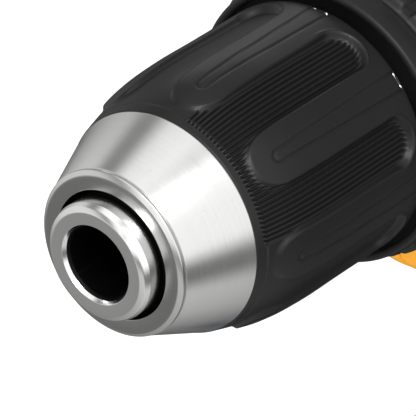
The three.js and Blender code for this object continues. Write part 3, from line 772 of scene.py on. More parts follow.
class DRILL_OT_stage(Maker, bpy.types.Operator):
    """Camera, pale floor and soft studio light"""

    bl_idname = "drill.stage"
    bl_label = "Stage"

    def make(self, settings):
        self.camera()
        self.floor()
        self.lights()
        bpy.context.scene.view_settings.view_transform = "Standard"

    def camera(self):
        a, e = math.radians(VIEW_AZIMUTH), math.radians(VIEW_ELEVATION)
        right = Vector((math.cos(a), math.sin(a), 0))
        up = Vector((-math.sin(a) * math.sin(e), math.cos(a) * math.sin(e), math.cos(e)))
        back = Vector((math.sin(a) * math.cos(e), -math.cos(a) * math.cos(e), math.sin(e)))
        camera = bpy.data.cameras.new("Camera")
        camera.sensor_width = 36
        camera.lens = VIEW_LENS
        camera.clip_start = 0.01
        scene_camera = bpy.data.objects.new("Camera", camera)
        bpy.context.scene.collection.objects.link(scene_camera)
        spread = VIEW_DISTANCE * camera.sensor_width / camera.lens
        face = Vector((0, NOSE_Y, AXIS_Z))
        offset = right * FACE_IN_VIEW[0] * spread + up * FACE_IN_VIEW[1] * spread
        scene_camera.location = (face - offset + back * VIEW_DISTANCE) * MM
        scene_camera.rotation_mode = "QUATERNION"
        scene_camera.rotation_quaternion = (-back).to_track_quat("-Z", "Y")
        bpy.context.scene.camera = scene_camera

    def floor(self):
        mesh = bpy.data.meshes.new("floor")
        side = 30.0
        mesh.from_pydata(
            [(-side, -side, 0), (side, -side, 0), (side, side, 0), (-side, side, 0)], [], [(0, 1, 2, 3)]
        )
        floor = bpy.data.objects.new("floor", mesh)
        bpy.context.scene.collection.objects.link(floor)
        material, nodes, shader = new_material("Floor paper")
        place_ = nodes.add("ShaderNodeTexCoord").outputs["Object"]
        noise = nodes.add("ShaderNodeTexNoise", Vector=place_, Scale=90.0, Detail=3.0)
        nodes.feed(shader, "Base Color", nodes.mix(noise.outputs["Fac"], (0.93,) * 3, (0.95,) * 3))
        shader.inputs["Roughness"].default_value = 0.8
        ray = nodes.add("ShaderNodeLightPath").outputs
        seen = nodes.math("MAXIMUM", ray["Is Camera Ray"], ray["Is Diffuse Ray"])
        shader.inputs["Emission Color"].default_value = (1.0, 1.0, 1.0, 1.0)
        shader.inputs["Emission Strength"].default_value = 0.42
        nodes.feed(shader, "Alpha", seen)
        mesh.materials.append(material)

    def lights(self):
        middle = (0, -60, AXIS_Z - 40)
        area_light("key", (420, -650, 980), middle, (520, 520), 5)
        area_light("rim", (-500, 700, 700), middle, (700, 300), 0.8)
        world = bpy.data.worlds.new("Studio")
        bpy.context.scene.world = world
        world.use_nodes = True
        nodes = Nodes(world.node_tree)
        background = world.node_tree.nodes["Background"]
        direction = nodes.add("ShaderNodeTexCoord").outputs["Generated"]
        parts = nodes.add("ShaderNodeSeparateXYZ", Vector=direction).outputs
        around = nodes.math("ARCTAN2", parts["X"], parts["Z"])
        turn = nodes.math("ADD", nodes.math("DIVIDE", around, TURN), 0.5)
        tent = nodes.ramp(turn, [((angle + 180) / 360, shade) for angle, shade in TENT])
        depth = nodes.add("ShaderNodeMapRange", Value=parts["Y"]).outputs[0]
        behind = depth.node
        for label, value in (("From Min", 0.2), ("From Max", 0.6), ("To Min", 1.0), ("To Max", BEHIND)):
            behind.inputs[label].default_value = value
        lit = nodes.mix(1.0, tent, depth, "MULTIPLY")
        seen = nodes.add("ShaderNodeLightPath").outputs["Is Camera Ray"]
        nodes.feed(background, "Color", nodes.mix(seen, lit, (1.0, 1.0, 1.0)))
        background.inputs["Strength"].default_value = 1.3


# ---------------------------------------------------------------- chuck

PAD_HALF = 4.93  # half width of a raised pad, along the sleeve
CHANNEL_HALF = 4.1
CHANNEL_END = 52.4  # station where a recess starts to round off
PAD_TIP = (20.6, 27.0)  # stations of a pad's front tip and of its full width
TONGUE_TIP = 26.2
TONGUE_END = 58.9
TONGUE_HALF = (0.95, 1.7)  # half width at the tongue's two ends
TIP_SQUARE = 2.4  # squareness of a pad's front tip
LIP_HEIGHT = 0.14  # of the raised edge round the end of a recess
GROOVE_HALF, GROOVE_DEPTH = 0.17, 0.24  # of the line round a tongue
RIB_ZONE = 36.0  # half angle of each ribbed zone
RIB_ZONE_MIDDLE = 47.0
SLEEVE_R = 23.0
WINDOW_DEPTH = 1.0  # of the slot behind a pad, where the retainer shows

NOSE_FACE_S = 4.0  # the cone's flat ring lies ahead of this station
NOSE_SHADE_R = 11.9  # the cone's inner wall gets painted shade inside this radius
TUBE_BORE_R, TUBE_SHADE_START = 6.9, 3.9  # the tube keeps its bright steel outside its bore up to this station; inside its bore and behind this station it gets painted shade
JAW_BORE_R, JAW_LINE_START = 4.35, 1.2

PAD_PROFILE = [
    (17.3, 20.3), (19, 21.0), (21, 21.8), (24, 22.7), (28, 23.4), (34, 23.9), (44, 24.1), (58, 24.4),
]
FLOOR_PROFILE = [
    (17.3, 20.3), (18.4, 20.6), (21, 21.3), (24, 21.95), (28, 22.5), (34, 22.85), (48, 23.0), (58, 23.1),
]


def sleeve_relief(settings, angle, s):
    """Outer radius of the grip sleeve at an angle in degrees and a station."""
    pitch = 360 / settings.channels
    from_pad = (angle - settings.phase + pitch / 2) % pitch - pitch / 2
    arc = np.abs(np.radians(from_pad) * SLEEVE_R)
    to_channel = np.radians(pitch / 2) * SLEEVE_R - arc
    beyond = np.maximum(s - CHANNEL_END, 0)
    wall = np.hypot(to_channel, beyond) - CHANNEL_HALF
    tip, full = PAD_TIP
    ahead = np.maximum(full - s, 0) / (full - tip)
    reach = ((arc / PAD_HALF) ** TIP_SQUARE + ahead**TIP_SQUARE) ** (1 / TIP_SQUARE)
    nose = (1 - reach) * PAD_HALF
    inside = np.where(s < full, np.minimum(wall, nose), wall)
    soft = 0.34 + 0.5 * step_up(s, CHANNEL_END - 1, CHANNEL_END + 3)
    raised = step_up(inside, -0.1, soft)
    brim = np.exp(-(((inside - 0.75) / 0.3) ** 2)) * step_up(s, CHANNEL_END - 3, CHANNEL_END + 2)
    lip = LIP_HEIGHT * brim
    pad = smooth_curve(PAD_PROFILE, s)
    floor = smooth_curve(FLOOR_PROFILE, s)
    radius = floor + (pad - floor) * raised + lip

    along = np.clip((s - TONGUE_TIP) / (TONGUE_END - TONGUE_TIP), 0, 1)
    half = TONGUE_HALF[0] + (TONGUE_HALF[1] - TONGUE_HALF[0]) * along
    tongue = np.hypot(arc, np.maximum(TONGUE_TIP - s, 0)) - half
    groove = np.exp(-((tongue / GROOVE_HALF) ** 2)) * step_up(TONGUE_END - s, 0, 0.2)
    radius = radius - GROOVE_DEPTH * groove * raised
    across = step_up(TONGUE_HALF[1] + 0.15 - arc, 0, 0.2)
    window = across * step_up(s, 58.5, 58.65) * step_up(59.35 - s, 0, 0.15)
    radius = radius - WINDOW_DEPTH * window

    zone = np.abs((angle - RIB_ZONE_MIDDLE + 90) % 180 - 90)
    ribbed = step_up(RIB_ZONE - zone, 0, 0.5) * (1 - step_up(inside, -0.5, -0.1))
    ribbed = ribbed * step_up(s, 18.5, 18.9)
    wave = (0.5 - 0.5 * np.cos(np.radians(angle - RIB_ZONE_MIDDLE) * 360 / settings.rib_pitch)) ** 1.6
    return radius + settings.rib_height * ribbed * (wave - 0.45)


def sleeve_angles(settings):
    """Angles of the sleeve's columns in degrees, closest together where it is ribbed."""
    fine, coarse = settings.rib_pitch / 6, settings.rib_pitch / 4
    angles = []
    for middle in (RIB_ZONE_MIDDLE, RIB_ZONE_MIDDLE + 180):
        angles.append(np.arange(middle - RIB_ZONE, middle + RIB_ZONE, fine))
        angles.append(np.arange(middle + RIB_ZONE, middle + 180 - RIB_ZONE, coarse))
    return np.concatenate(angles)


class DRILL_OT_chuck(Maker, bpy.types.Operator):
    """Nose cone, inner tube, jaws and grip sleeve of the keyless chuck"""

    bl_idname = "drill.chuck"
    bl_label = "Chuck"

    def make(self, settings):
        self.sleeve(settings)
        self.retainer(settings)
        nose = turned(
            "chuck_nose_cone",
            [
                (11.6, 5.6, 0.2), (11.6, 3.9, 0.2), (14.1, 3.9, 0.5), (14.95, 4.45, 0.25), (15.0, 4.85, 0.04),
                (14.75, 4.9, 0.02), (14.75, 5.06, 0.02), (15.1, 5.15, 0.04),
                (20.1, 16.95, 0.12), (20.1, 17.2, 0.05),
                (18.4, 17.2), (18.4, 21.8), (17, 21.8), (17, 16.4), (14.4, 8.4),
            ],
            "chuck_sleeve", "steel", FINISHES["steel"], facets=240, replaces=("nose_cone",),
        )
        nose.data.materials.append(FINISHES["ring"])
        nose.data.materials.append(FINISHES["bore"])
        # The front ring gets the faced steel; the cone's inner wall gets painted shade, a near-black finish
        # where the real steel lies in shade.
        for face in nose.data.polygons:
            x, y, z = face.center / MM
            r, s = math.hypot(x, z - AXIS_Z), y - NOSE_Y
            if s < NOSE_FACE_S:
                face.material_index = 1
            elif r < NOSE_SHADE_R:
                face.material_index = 2
        self.body()
        self.jaws()

    def sleeve(self, settings):
        stations = np.concatenate([
            np.arange(17.3, 19.1, 0.2), np.arange(19.1, 30, 0.36), np.arange(30, 49, 1.4),
            np.arange(49, 58, 0.32), np.arange(58, 59.5, 0.12),
        ])
        angle = sleeve_angles(settings)
        outer = sleeve_relief(settings, angle[None, :], stations[:, None])
        fade = step_up(stations, 58.9, 59.9)[:, None]
        outer = outer - 0.7 * fade
        inner = [
            (23.2, 59.75), (22.6, 59.8), (21.2, 59.8), (20.9, 59.6), (20.8, 46), (20.8, 33.6), (18.9, 33),
            (18.75, 20), (18.75, 17.5), (18.9, 17.25), (19.9, 17.15), (20.15, 17.2),
        ]
        rows = [outer] + [np.full((1, len(angle)), r) for r, _ in inner]
        all_stations = np.concatenate([stations, [s for _, s in inner]])
        vertices = about_axis(np.vstack(rows), all_stations[:, None], np.radians(angle)[None, :])
        faces = outward(vertices, ring_faces(len(all_stations), len(angle)))
        put("grip_sleeve_moulding", vertices, faces, "chuck_sleeve", "black_nylon", FINISHES["sleeve"],
            replaces=("grip_sleeve",))

    def retainer(self, settings):
        """The steel ring whose tabs show in the windows behind the pads."""
        pitch = 360 / settings.channels
        angle = np.arange(0, 360, 0.75)
        off = np.abs((angle - settings.phase + pitch / 2) % pitch - pitch / 2)
        tab = 23.2 + 1.05 * step_up(4.4 - off, 0, 0.75) * (1 - 0.25 * step_up(2.4 - off, 0, 0.75))
        inner = np.full(len(angle), 22.0)
        rows = [inner, tab, tab, inner]
        stations = np.array([58.72, 58.72, 59.28, 59.28])
        vertices = about_axis(np.vstack(rows), stations[:, None], np.radians(angle)[None, :])
        faces = outward(vertices, ring_faces(4, len(angle)))
        put("sleeve_retainer", vertices, faces, "chuck_sleeve", "steel", FINISHES["tube"])

    def body(self):
        body = turned(
            "chuck_inner_tube",
            [
                (7.15, 0.05, 0.12), (9.35, 0.0, 0.5), (10.2, 0.5, 0.5), (10.6, 1.5, 0.4),
                (10.6, 3.9), (10.6, 4.6, 0.2),
                (12.8, 7.4, 0.3), (13, 8.2), (13, 36.4), (18.2, 36.4), (18.2, 42.6, 0.3), (15.2, 43.4),
                (15.2, 56.4, 0.3), (6.7, 56.4), (6.7, 37), (3.3, 37), (3.3, 33), (6.5, 33), (6.5, 1.4, 0.15),
                (6.75, 0.75, 0.08),
            ],
            "output_spindle", "steel", FINISHES["tube"], facets=240, replaces=("chuck_body",),
        )
        cutters = []
        for lead in ("jaw_1_slide", "jaw_2_slide", "jaw_3_slide"):
            axis = next(j for j in frame["joints"] if j["name"] == lead)["axis"]
            reach = self.jaw_line(Vector(axis).normalized())
            cutters.append(bar("jaw bore", reach(3), reach(62), JAW_BORE_R, 40))
        carve(body, cutters)
        body.data.materials.clear()
        body.data.materials.append(FINISHES["tube"])
        body.data.materials.append(FINISHES["bore"])
        # The bore and the tube behind the cone's front ring get painted shade, a near-black finish where the
        # real steel lies in shade.
        for face in body.data.polygons:
            x, y, z = face.center / MM
            r, s = math.hypot(x, z - AXIS_Z), y - NOSE_Y
            if (s > 0.9 and r < TUBE_BORE_R) or s > TUBE_SHADE_START:
                face.material_index = 1
        body.data.shade_smooth()
        sharpen(body, 40)

    def jaw_line(self, direction):
        """Points along a jaw's centre line, by station."""
        outward_ = Vector((-direction.x, 0, -direction.z)).normalized()
        tilt = math.atan2(math.hypot(direction.x, direction.z), -direction.y)

        def reach(s):
            r = JAW_LINE_START + s * math.tan(tilt)
            return (outward_.x * r, NOSE_Y + s, AXIS_Z + outward_.z * r)

        return reach

    def jaws(self):
        for number in (1, 2, 3):
            node = frame["nodes"][f"chuck_jaw_{number}"]
            node.data.materials.clear()
            node.data.materials.append(FINISHES["hardened"])


# ---------------------------------------------------------------- torque collar


COLLAR_PROFILE = [
    (61.4, 26.9), (63, 27.15), (66, 27.3), (67.2, 27.6), (69, 28.0), (80, 28.3), (82, 28.0),
]


def collar_radius(settings, angle, s):
    """Outer radius of the torque collar at an angle in degrees and a station."""
    base = smooth_curve(COLLAR_PROFILE, s)
    pitch = 360 / settings.collar_ribs
    off = np.abs((angle + pitch / 2) % pitch - pitch / 2) / pitch
    block = 1 - step_up(off, 0.27, 0.38)
    ends = step_up(s, 66.6, 67.8) * (1 - step_up(s, 79.2, 80.4))
    return base + 1.0 * block * ends - 0.25 * step_up(s, 65.9, 66.3) * (1 - step_up(s, 66.6, 67.0))


class DRILL_OT_collar(Maker, bpy.types.Operator):
    """Torque collar behind the chuck, with blocks round its grip"""

    bl_idname = "drill.collar"
    bl_label = "Torque collar"

    def make(self, settings):
        stations = np.concatenate(
            [np.arange(61.4, 68.4, 0.28), np.arange(68.4, 79, 1.2), np.arange(79, 82.4, 0.28)]
        )
        angle = np.arange(0, 360, 360 / (settings.collar_ribs * 20))
        outer = collar_radius(settings, angle[None, :], stations[:, None])
        rest = [
            (27.2, 83.2), (26.8, 83.6), (24.4, 83.6), (24.2, 83.4), (24.2, 64.2), (10.7, 64.2), (10.6, 64.0),
            (10.6, 63.0), (25.1, 63.0), (25.3, 62.8), (25.4, 61.3), (25.7, 61.0), (26.3, 60.95),
            (26.7, 61.15),
        ]
        rows = [outer] + [np.full((1, len(angle)), r) for r, _ in rest]
        all_stations = np.concatenate([stations, [s for _, s in rest]])
        vertices = about_axis(np.vstack(rows), all_stations[:, None], np.radians(angle)[None, :])
        faces = outward(vertices, ring_faces(len(all_stations), len(angle)))
        put("torque_collar_moulding", vertices, faces, "clutch_collar", "black_nylon", FINISHES["collar"],
            replaces=("torque_collar",))


# ---------------------------------------------------------------- housing

WALL = 2.6
HALF_GAP = 0.08
BARREL = [
    (84.2, 0, 29.4, 29.2, 2.0), (88, 0, 30.8, 30.4, 2.1), (104, 0, 31.4, 31.0, 2.15),
    (150, 0, 31.5, 31.0, 2.2), (172, 0, 31.2, 30.6, 2.2), (192, -0.5, 29.4, 28.6, 2.3),
    (201, -1, 26.6, 25.6, 2.4), (205, -1.4, 22.0, 20.6, 2.5),
]
HANDLE = [
    (52, 13, 29, 25, 3.2), (62, 15.5, 25, 20.2, 2.7), (76, 16, 22.4, 18.4, 2.5), (96, 14, 21, 17.3, 2.4),
    (118, 11, 21.4, 17.2, 2.4), (138, 7, 24.4, 18, 2.4), (152, 5, 29.4, 19.4, 2.4), (166, 5, 31, 20, 2.4),
]
FOOT = [
    (36.4, 0, 55, 37, 4.1), (51, 3.4, 50.4, 35.4, 4), (57.4, 10, 38.5, 26.6, 3.4), (63, 17, 29, 20.6, 3),
]
CHIN = [
    (128, -12.5, 11, 11, 2.5), (131.5, -17.5, 18.5, 12.2, 2.6), (137, -21.5, 23.2, 13.4, 2.7),
    (143, -22.5, 25, 15, 2.8), (152, -23, 25.8, 17.5, 2.8), (170, -24, 26, 22, 2.6),
]
SCREWS = [(60, 163), (60, 196), (21, 98)]
EXTRA_SCREWS = [(-30, 149.5), (17, 72)]
SCREW_HEAD_X = 11.6
SCREW_HEAD_R, HOOK_SCREW_HEAD_R = 3.15, 3.95
SCREW_SEAT_X = 9  # where the counterbore for a head ends
BOSS_R, HEAD_HOLE_R, SHANK_HOLE_R = 4.6, 3.6, 1.7
RUBBER_SWELL = 0.45  # how far the rubber stands proud of the shell
VENTS, VENT_Y, VENT_PITCH = 4, 34.0, 5.2
VENT_HALF, VENT_WIDE = 11, 2.2  # half height of the longest vent, and its width
HOOK_SCREW_Z, HOOK_HOLE_R = 47, 2.3

# Corners of the ways for the pack's rails, for their lips and for the terminals.
RAIL_WAY = ((-40, -90, 20), (21.6, 46, 42.2))
LIP_WAY = ((-40, -90, 41.7), (25, 46, 49.4))
TERMINAL_WAY = ((-30, 8, 50), (16.6, 40, 59.2))

# Round rooms inside: radius, first and last station.
GEAR_ROOM = (26.3, 80, 121)
FRONT_ROOM = (25, 92)
FOOT_SOLID_Z = 59.3  # below this only the ways are hollow
BARREL_REAR_EDGE = 12

# The rubber covers the handle below the trigger, its back, and the back of the barrel.
GRIP_OUTLINE = [
    (-40, 68), (-40, 107), (0, 107), (7.5, 114), (12.5, 129), (17, 143), (30, 152), (50, 157),
    (54, 166), (54.5, 200), (56, 226), (90, 226), (90, 120), (60, 66), (30, 65), (0, 66.5),
]


class DRILL_OT_housing(Maker, bpy.types.Operator):
    """The two yellow housing halves and the rubber moulded over them"""

    bl_idname = "drill.housing"
    bl_label = "Housing"

    def make(self, settings):
        step = settings.detail * 1.0
        space = Space((-2 * step, -57, 33), (40, 74, 217), step)
        body, room = self.solids(space)
        for name, sign in (("left", 1), ("right", -1)):
            self.half(space, body, room, name, sign)

    def solids(self, space):
        """The housing's outside, and the room inside it."""
        barrel = space.along_barrel(BARREL, BARREL_REAR_EDGE)
        handle = space.upright(HANDLE)
        foot = space.upright(FOOT)
        chin = space.upright(CHIN)
        upper = blend_min(barrel, chin, 7)
        lower = blend_min(handle, foot, 6)
        body = blend_min(upper, lower, 12)
        radius, s = space.about_axis()
        gear_r, gear_start, gear_end = GEAR_ROOM
        works = np.maximum(radius - gear_r, np.maximum(gear_start - s, s - gear_end))
        front = np.maximum(radius - FRONT_ROOM[0], s - FRONT_ROOM[1])
        hollow = np.maximum(body + WALL, FOOT_SOLID_Z - space.z)
        room = np.minimum(hollow, np.minimum(works, front))
        return body, room

    def half(self, space, body, room, name, sign):
        """One half's yellow shell and its rubber, which stands a little proud."""
        grip = space.side_region(GRIP_OUTLINE, 3)
        shell = self.opened(space, np.maximum(body, -room), body, sign)
        swollen = self.opened(space, blend_max(body - RUBBER_SWELL, -room, 0.3), body, sign)
        flute = np.maximum(np.abs(grip) - 0.35, -(body + 0.7))
        yellow = cut_away(blend_max(shell, -(grip - 0.3), 0.5), flute, 0.3)
        rubber = self.treads(space, blend_max(swollen, grip + 0.15, 1.4), body)
        piece = moulded(f"housing_{name}_shell", space, yellow, "housing", "yellow_nylon",
                        FINISHES["yellow"], mirror=sign < 0, replaces=(f"housing_{name}",))
        keep_out_of_reflections(piece)
        moulded(f"grip_{name}_overmould", space, rubber, "housing", "grip_rubber",
                FINISHES["rubber"], mirror=sign < 0, replaces=(f"grip_{name}",))

    def opened(self, space, skin, body, sign):
        """A skin with its screw bosses, its openings and its flat joint face."""
        holes, bosses = [], []
        for y, z in SCREWS + EXTRA_SCREWS:
            bosses.append(space.rod((0, y, z), (30, y, z), BOSS_R))
            if sign < 0:
                holes.append(space.rod((SCREW_SEAT_X, y, z), (45, y, z), HEAD_HOLE_R))
            holes.append(space.rod((-5, y, z), (12, y, z), SHANK_HOLE_R))
        skin = np.minimum(skin, np.maximum(np.minimum.reduce(bosses), body + 0.8))
        for tool, soft in self.openings(space, sign):
            skin = cut_away(skin, tool, soft)
        for hole in holes:
            skin = cut_away(skin, hole, 0.4)
        return blend_max(skin, HALF_GAP - space.x, 0.5)

    def treads(self, space, rubber, body):
        """Slanting grooves pressed into the side of the grip."""
        slant = (space.z - 70) + 0.35 * (space.y - 10)
        pitch = 5.0
        groove = np.abs((slant / pitch) % 1 - 0.5) * pitch - 0.7
        patch = space.side_region([(2, 76), (24, 76), (21, 104), (12, 108), (-1, 104)], 3)
        deep = np.maximum(-(body + 0.6), np.maximum(groove, patch))
        return cut_away(rubber, deep, 0.6)

    def openings(self, space, sign):
        """Everything cut through the housing, each with the softness of its edge."""
        low, high = TRIGGER_BOX
        yield space.box((-20, -31, low[2] - 1), (high[0] + 0.5, 0, high[2] + 0.8), 1), 0.8
        (_, y0, z0), (_, y1, z1) = DIRECTION_BOX
        yield space.box((-30, y0 - 0.6, z0 - 0.6), (40, y1 + 0.6, z1 + 0.6), 0.8), 0.5
        (_, y0, z0), (x1, y1, z1) = SPEED_BOX
        yield space.box((-20, y0 - 2.2, z0 + 0.9), (x1 + 1.2, y1 + 2.2, z1 + 9), 1.2), 0.8
        yield space.box((-20, y0 - 0.4, z0 - 9), (4, y0 + 12.4, z1), 0.5), 0.4
        (_, y0, z0), (x1, y1, z1) = LAMP_BOX
        yield space.box((-20, y0 - 14, z0 - 0.5), (x1 + 0.5, y1 + 0.4, z1 + 0.5), 1), 0.7
        for way in (RAIL_WAY, LIP_WAY):
            yield space.box(*way, 0.4), 0.5
        yield space.box(*TERMINAL_WAY, 0.3), 0.3
        for i in range(VENTS):
            y, shorter = VENT_Y + i * VENT_PITCH, i * 0.8
            low = (22, y, AXIS_Z - VENT_HALF + shorter)
            yield space.box(low, (45, y + VENT_WIDE, AXIS_Z + VENT_HALF - shorter), 0.9), 0.6
        if sign > 0:
            yield space.rod((20, 0, HOOK_SCREW_Z), (60, 0, HOOK_SCREW_Z), HOOK_HOLE_R), 0.3


# ---------------------------------------------------------------- controls


def box_space(low, high, step, margin=1.5):
    """The space round a millimetre box."""
    return Space(np.array(low) - margin, np.array(high) + margin, step)


def detail_step(settings, finest):
    return finest * 1.0 * settings.detail / 0.62


SPRING_SEAT_R = 4.4


class DRILL_OT_controls(Maker, bpy.types.Operator):
    """Trigger, direction button, speed slide and work lamp"""

    bl_idname = "drill.controls"
    bl_label = "Controls"

    def make(self, settings):
        self.trigger(settings)
        self.direction(settings)
        self.speed(settings)
        self.lamp(settings)

    def trigger(self, settings):
        low, high = TRIGGER_BOX
        space = box_space(low, high, detail_step(settings, 0.35))
        front, top, foot = low[1], high[2], low[2]
        outline = [
            (high[1], foot), (front + 9.6, foot), (front + 4.2, foot + 1.2), (front + 2.2, foot + 5.5),
            (front + 3.0, foot + 10), (front + 3.2, foot + 15), (front + 1.2, foot + 21),
            (front + 0.1, top - 3.2), (front + 0.9, top - 0.8), (front + 3, top), (high[1], top),
        ]
        side = space.side_region(outline, 2.5)
        body = blend_max(side, np.abs(space.x) - high[0], 3.0)
        for i in range(4):
            height = foot + 7 + i * 4.6
            rib = space.rod((-high[0] + 2.2, front + 1.6, height), (high[0] - 2.2, front + 1.6, height), 0.7)
            body = cut_away(body, rib, 0.5)
        seat_z = (foot + top) / 2 - 0.4
        body = cut_away(body, space.rod((0, high[1] - 7.2, seat_z), (0, 5, seat_z), SPRING_SEAT_R), 0.3)
        moulded("trigger_moulding", space, body, "trigger_button", "black_nylon", FINISHES["black"],
                replaces=("trigger",))

    def direction(self, settings):
        low, high = DIRECTION_BOX
        space = box_space(low, high, detail_step(settings, 0.35))
        body = space.box(low, high, 1.4)
        for end in (-1, 1):
            for i in range(4):
                y = low[1] + 2.4 + i * 1.75
                groove = space.rod((end * high[0], y, low[2] + 1.6), (end * high[0], y, high[2] - 1.6), 0.45)
                body = cut_away(body, groove, 0.3)
        moulded("direction_button_moulding", space, body, "direction_button", "black_nylon",
                FINISHES["black"], replaces=("direction_selector",))

    def speed(self, settings):
        low, high = SPEED_BOX
        space = box_space(low, high, detail_step(settings, 0.35))
        top = high[2]
        plate = space.box((low[0], low[1], top - 4.6), (high[0], high[1], top - 2.4), 0.7)
        knob = space.box((-7.5, low[1] + 4.2, top - 3.6), (7.5, low[1] + 9.8, top), 1.0)
        stem = space.box((-3.4, low[1] + 1.2, low[2]), (3.4, low[1] + 6.4, top - 4), 0.3)
        body = blend_min(plate, knob, 1.4)
        for i in range(9):
            x = -6 + 1.5 * i
            groove = space.rod((x, low[1] + 4.8, top + 0.1), (x, low[1] + 9.2, top + 0.1), 0.45)
            body = cut_away(body, groove, 0.25)
        moulded("speed_slide_moulding", space, np.minimum(body, stem), "gear_shift", "black_nylon",
                FINISHES["black"], replaces=("speed_selector",))

    def lamp(self, settings):
        low, high = LAMP_BOX
        space = box_space(low, high, detail_step(settings, 0.3))
        body = space.box(low, high, 1.2)
        middle = (low[2] + high[2]) / 2
        dome = space.rod((0, low[1] - 0.2, middle), (0, low[1] + 1.2, middle), 2.1)
        body = cut_away(body, dome, 0.4)
        moulded("lamp_lens_moulding", space, body, "housing", "lamp_lens", FINISHES["lens"],
                replaces=("lamp_lens",))


# ---------------------------------------------------------------- fasteners and hook


def eased(node, edge, body, slot, material, segments=2):
    """A copy of a pressed piece with its edges rounded."""
    source = frame["nodes"][node]
    copy = bpy.data.objects.new(f"{node}_eased", source.data.copy())
    bpy.context.scene.collection.objects.link(copy)
    bm = bmesh.new()
    bm.from_mesh(copy.data)
    bmesh.ops.remove_doubles(bm, verts=bm.verts, dist=1e-6)
    bmesh.ops.dissolve_limit(bm, angle_limit=math.radians(1), verts=bm.verts, edges=bm.edges)
    bm.to_mesh(copy.data)
    bm.free()
    bevel = copy.modifiers.new("edge", "BEVEL")
    bevel.width = edge * MM
    bevel.segments = segments
    bevel.limit_method = "ANGLE"
    bevel.angle_limit = math.radians(28)
    apply_modifiers(copy)
    place(copy, body, slot, material, replaces=(node,))
    sharpen(copy, 40)
    return copy


def keep_out_of_reflections(piece):
    """Stops a piece near the floor from showing as a band along the chuck."""
    piece.visible_glossy = False


def screw_head(name, middle, radius, facing, body, replaces=()):
    """A domed screw head with a six-lobed recess, facing along X."""
    columns, depth = 72, -facing * 2.4
    rings = np.concatenate([np.linspace(0.02, 0.55, 22), np.linspace(0.6, 1.0, 8)]) * radius
    angle = np.arange(columns) * TURN / columns
    r, a = rings[:, None], angle[None, :]
    lobes = radius * (0.42 + 0.09 * np.cos(6 * a))
    recess = 1.5 * (1 - step_up(r - lobes, -0.12, 0.08))
    height = 0.5 * np.sqrt(np.maximum(1 - (r / radius * 0.96) ** 2, 0)) - recess
    y, z = r * np.cos(a), r * np.sin(a)
    outer = np.stack([facing * np.broadcast_to(height, y.shape), y, z], -1).reshape(-1, 3)
    skirt = np.stack([np.full(columns, depth), radius * np.cos(angle), radius * np.sin(angle)], -1)
    ends = [[depth, 0, 0], [outer[0, 0], 0, 0]]
    vertices = np.vstack([outer, skirt, ends]) + np.array(middle)
    last, back, core = len(outer), len(vertices) - 2, len(vertices) - 1
    faces = []
    for c in range(columns):
        n = (c + 1) % columns
        for row in range(0, last, columns):
            faces.append((row + c, row + n, row + columns + n, row + columns + c))
        faces += [(last + c, last + n, back), (n, c, core)]
    mesh = bpy.data.meshes.new(name)
    mesh.from_pydata((vertices * MM).tolist(), [], faces)
    bm = bmesh.new()
    bm.from_mesh(mesh)
    bmesh.ops.recalc_face_normals(bm, faces=bm.faces)
    bm.to_mesh(mesh)
    bm.free()
    head = bpy.data.objects.new(name, mesh)
    place(head, body, "dark_steel", FINISHES["pressed"], replaces=replaces)
    sharpen(head, 50)
    return head


class DRILL_OT_fittings(Maker, bpy.types.Operator):
    """Housing screws, belt hook and its screw"""

    bl_idname = "drill.fittings"
    bl_label = "Screws and belt hook"

    def make(self, settings):
        for i, (y, z) in enumerate(SCREWS + EXTRA_SCREWS):
            stands_for = (f"housing_screw_{i + 1}",) if i < len(SCREWS) else ()
            screw_head(f"housing_screw_head_{i + 1}", (-SCREW_HEAD_X, y, z), SCREW_HEAD_R, -1, "housing",
                       replaces=stands_for)
        eased("belt_hook", 0.5, "housing", "dark_steel", FINISHES["hook"])
        low, high = HOOK_SCREW_BOX
        middle = (high[0] - 0.5, 0, (low[2] + high[2]) / 2)
        screw_head("belt_hook_screw_head", middle, HOOK_SCREW_HEAD_R, 1, "housing",
                   replaces=("belt_hook_screw",))


# ---------------------------------------------------------------- battery pack

PACK = [
    (0, 0, 52.4, 34, 8), (1.6, 0, 54.4, 36, 8), (6, 0, 55.6, 37.2, 7.6), (30, 0, 56, 37.5, 7.6),
    (36, 0, 55.6, 37.2, 7.6),
]
SPLIT_Z = 19.15


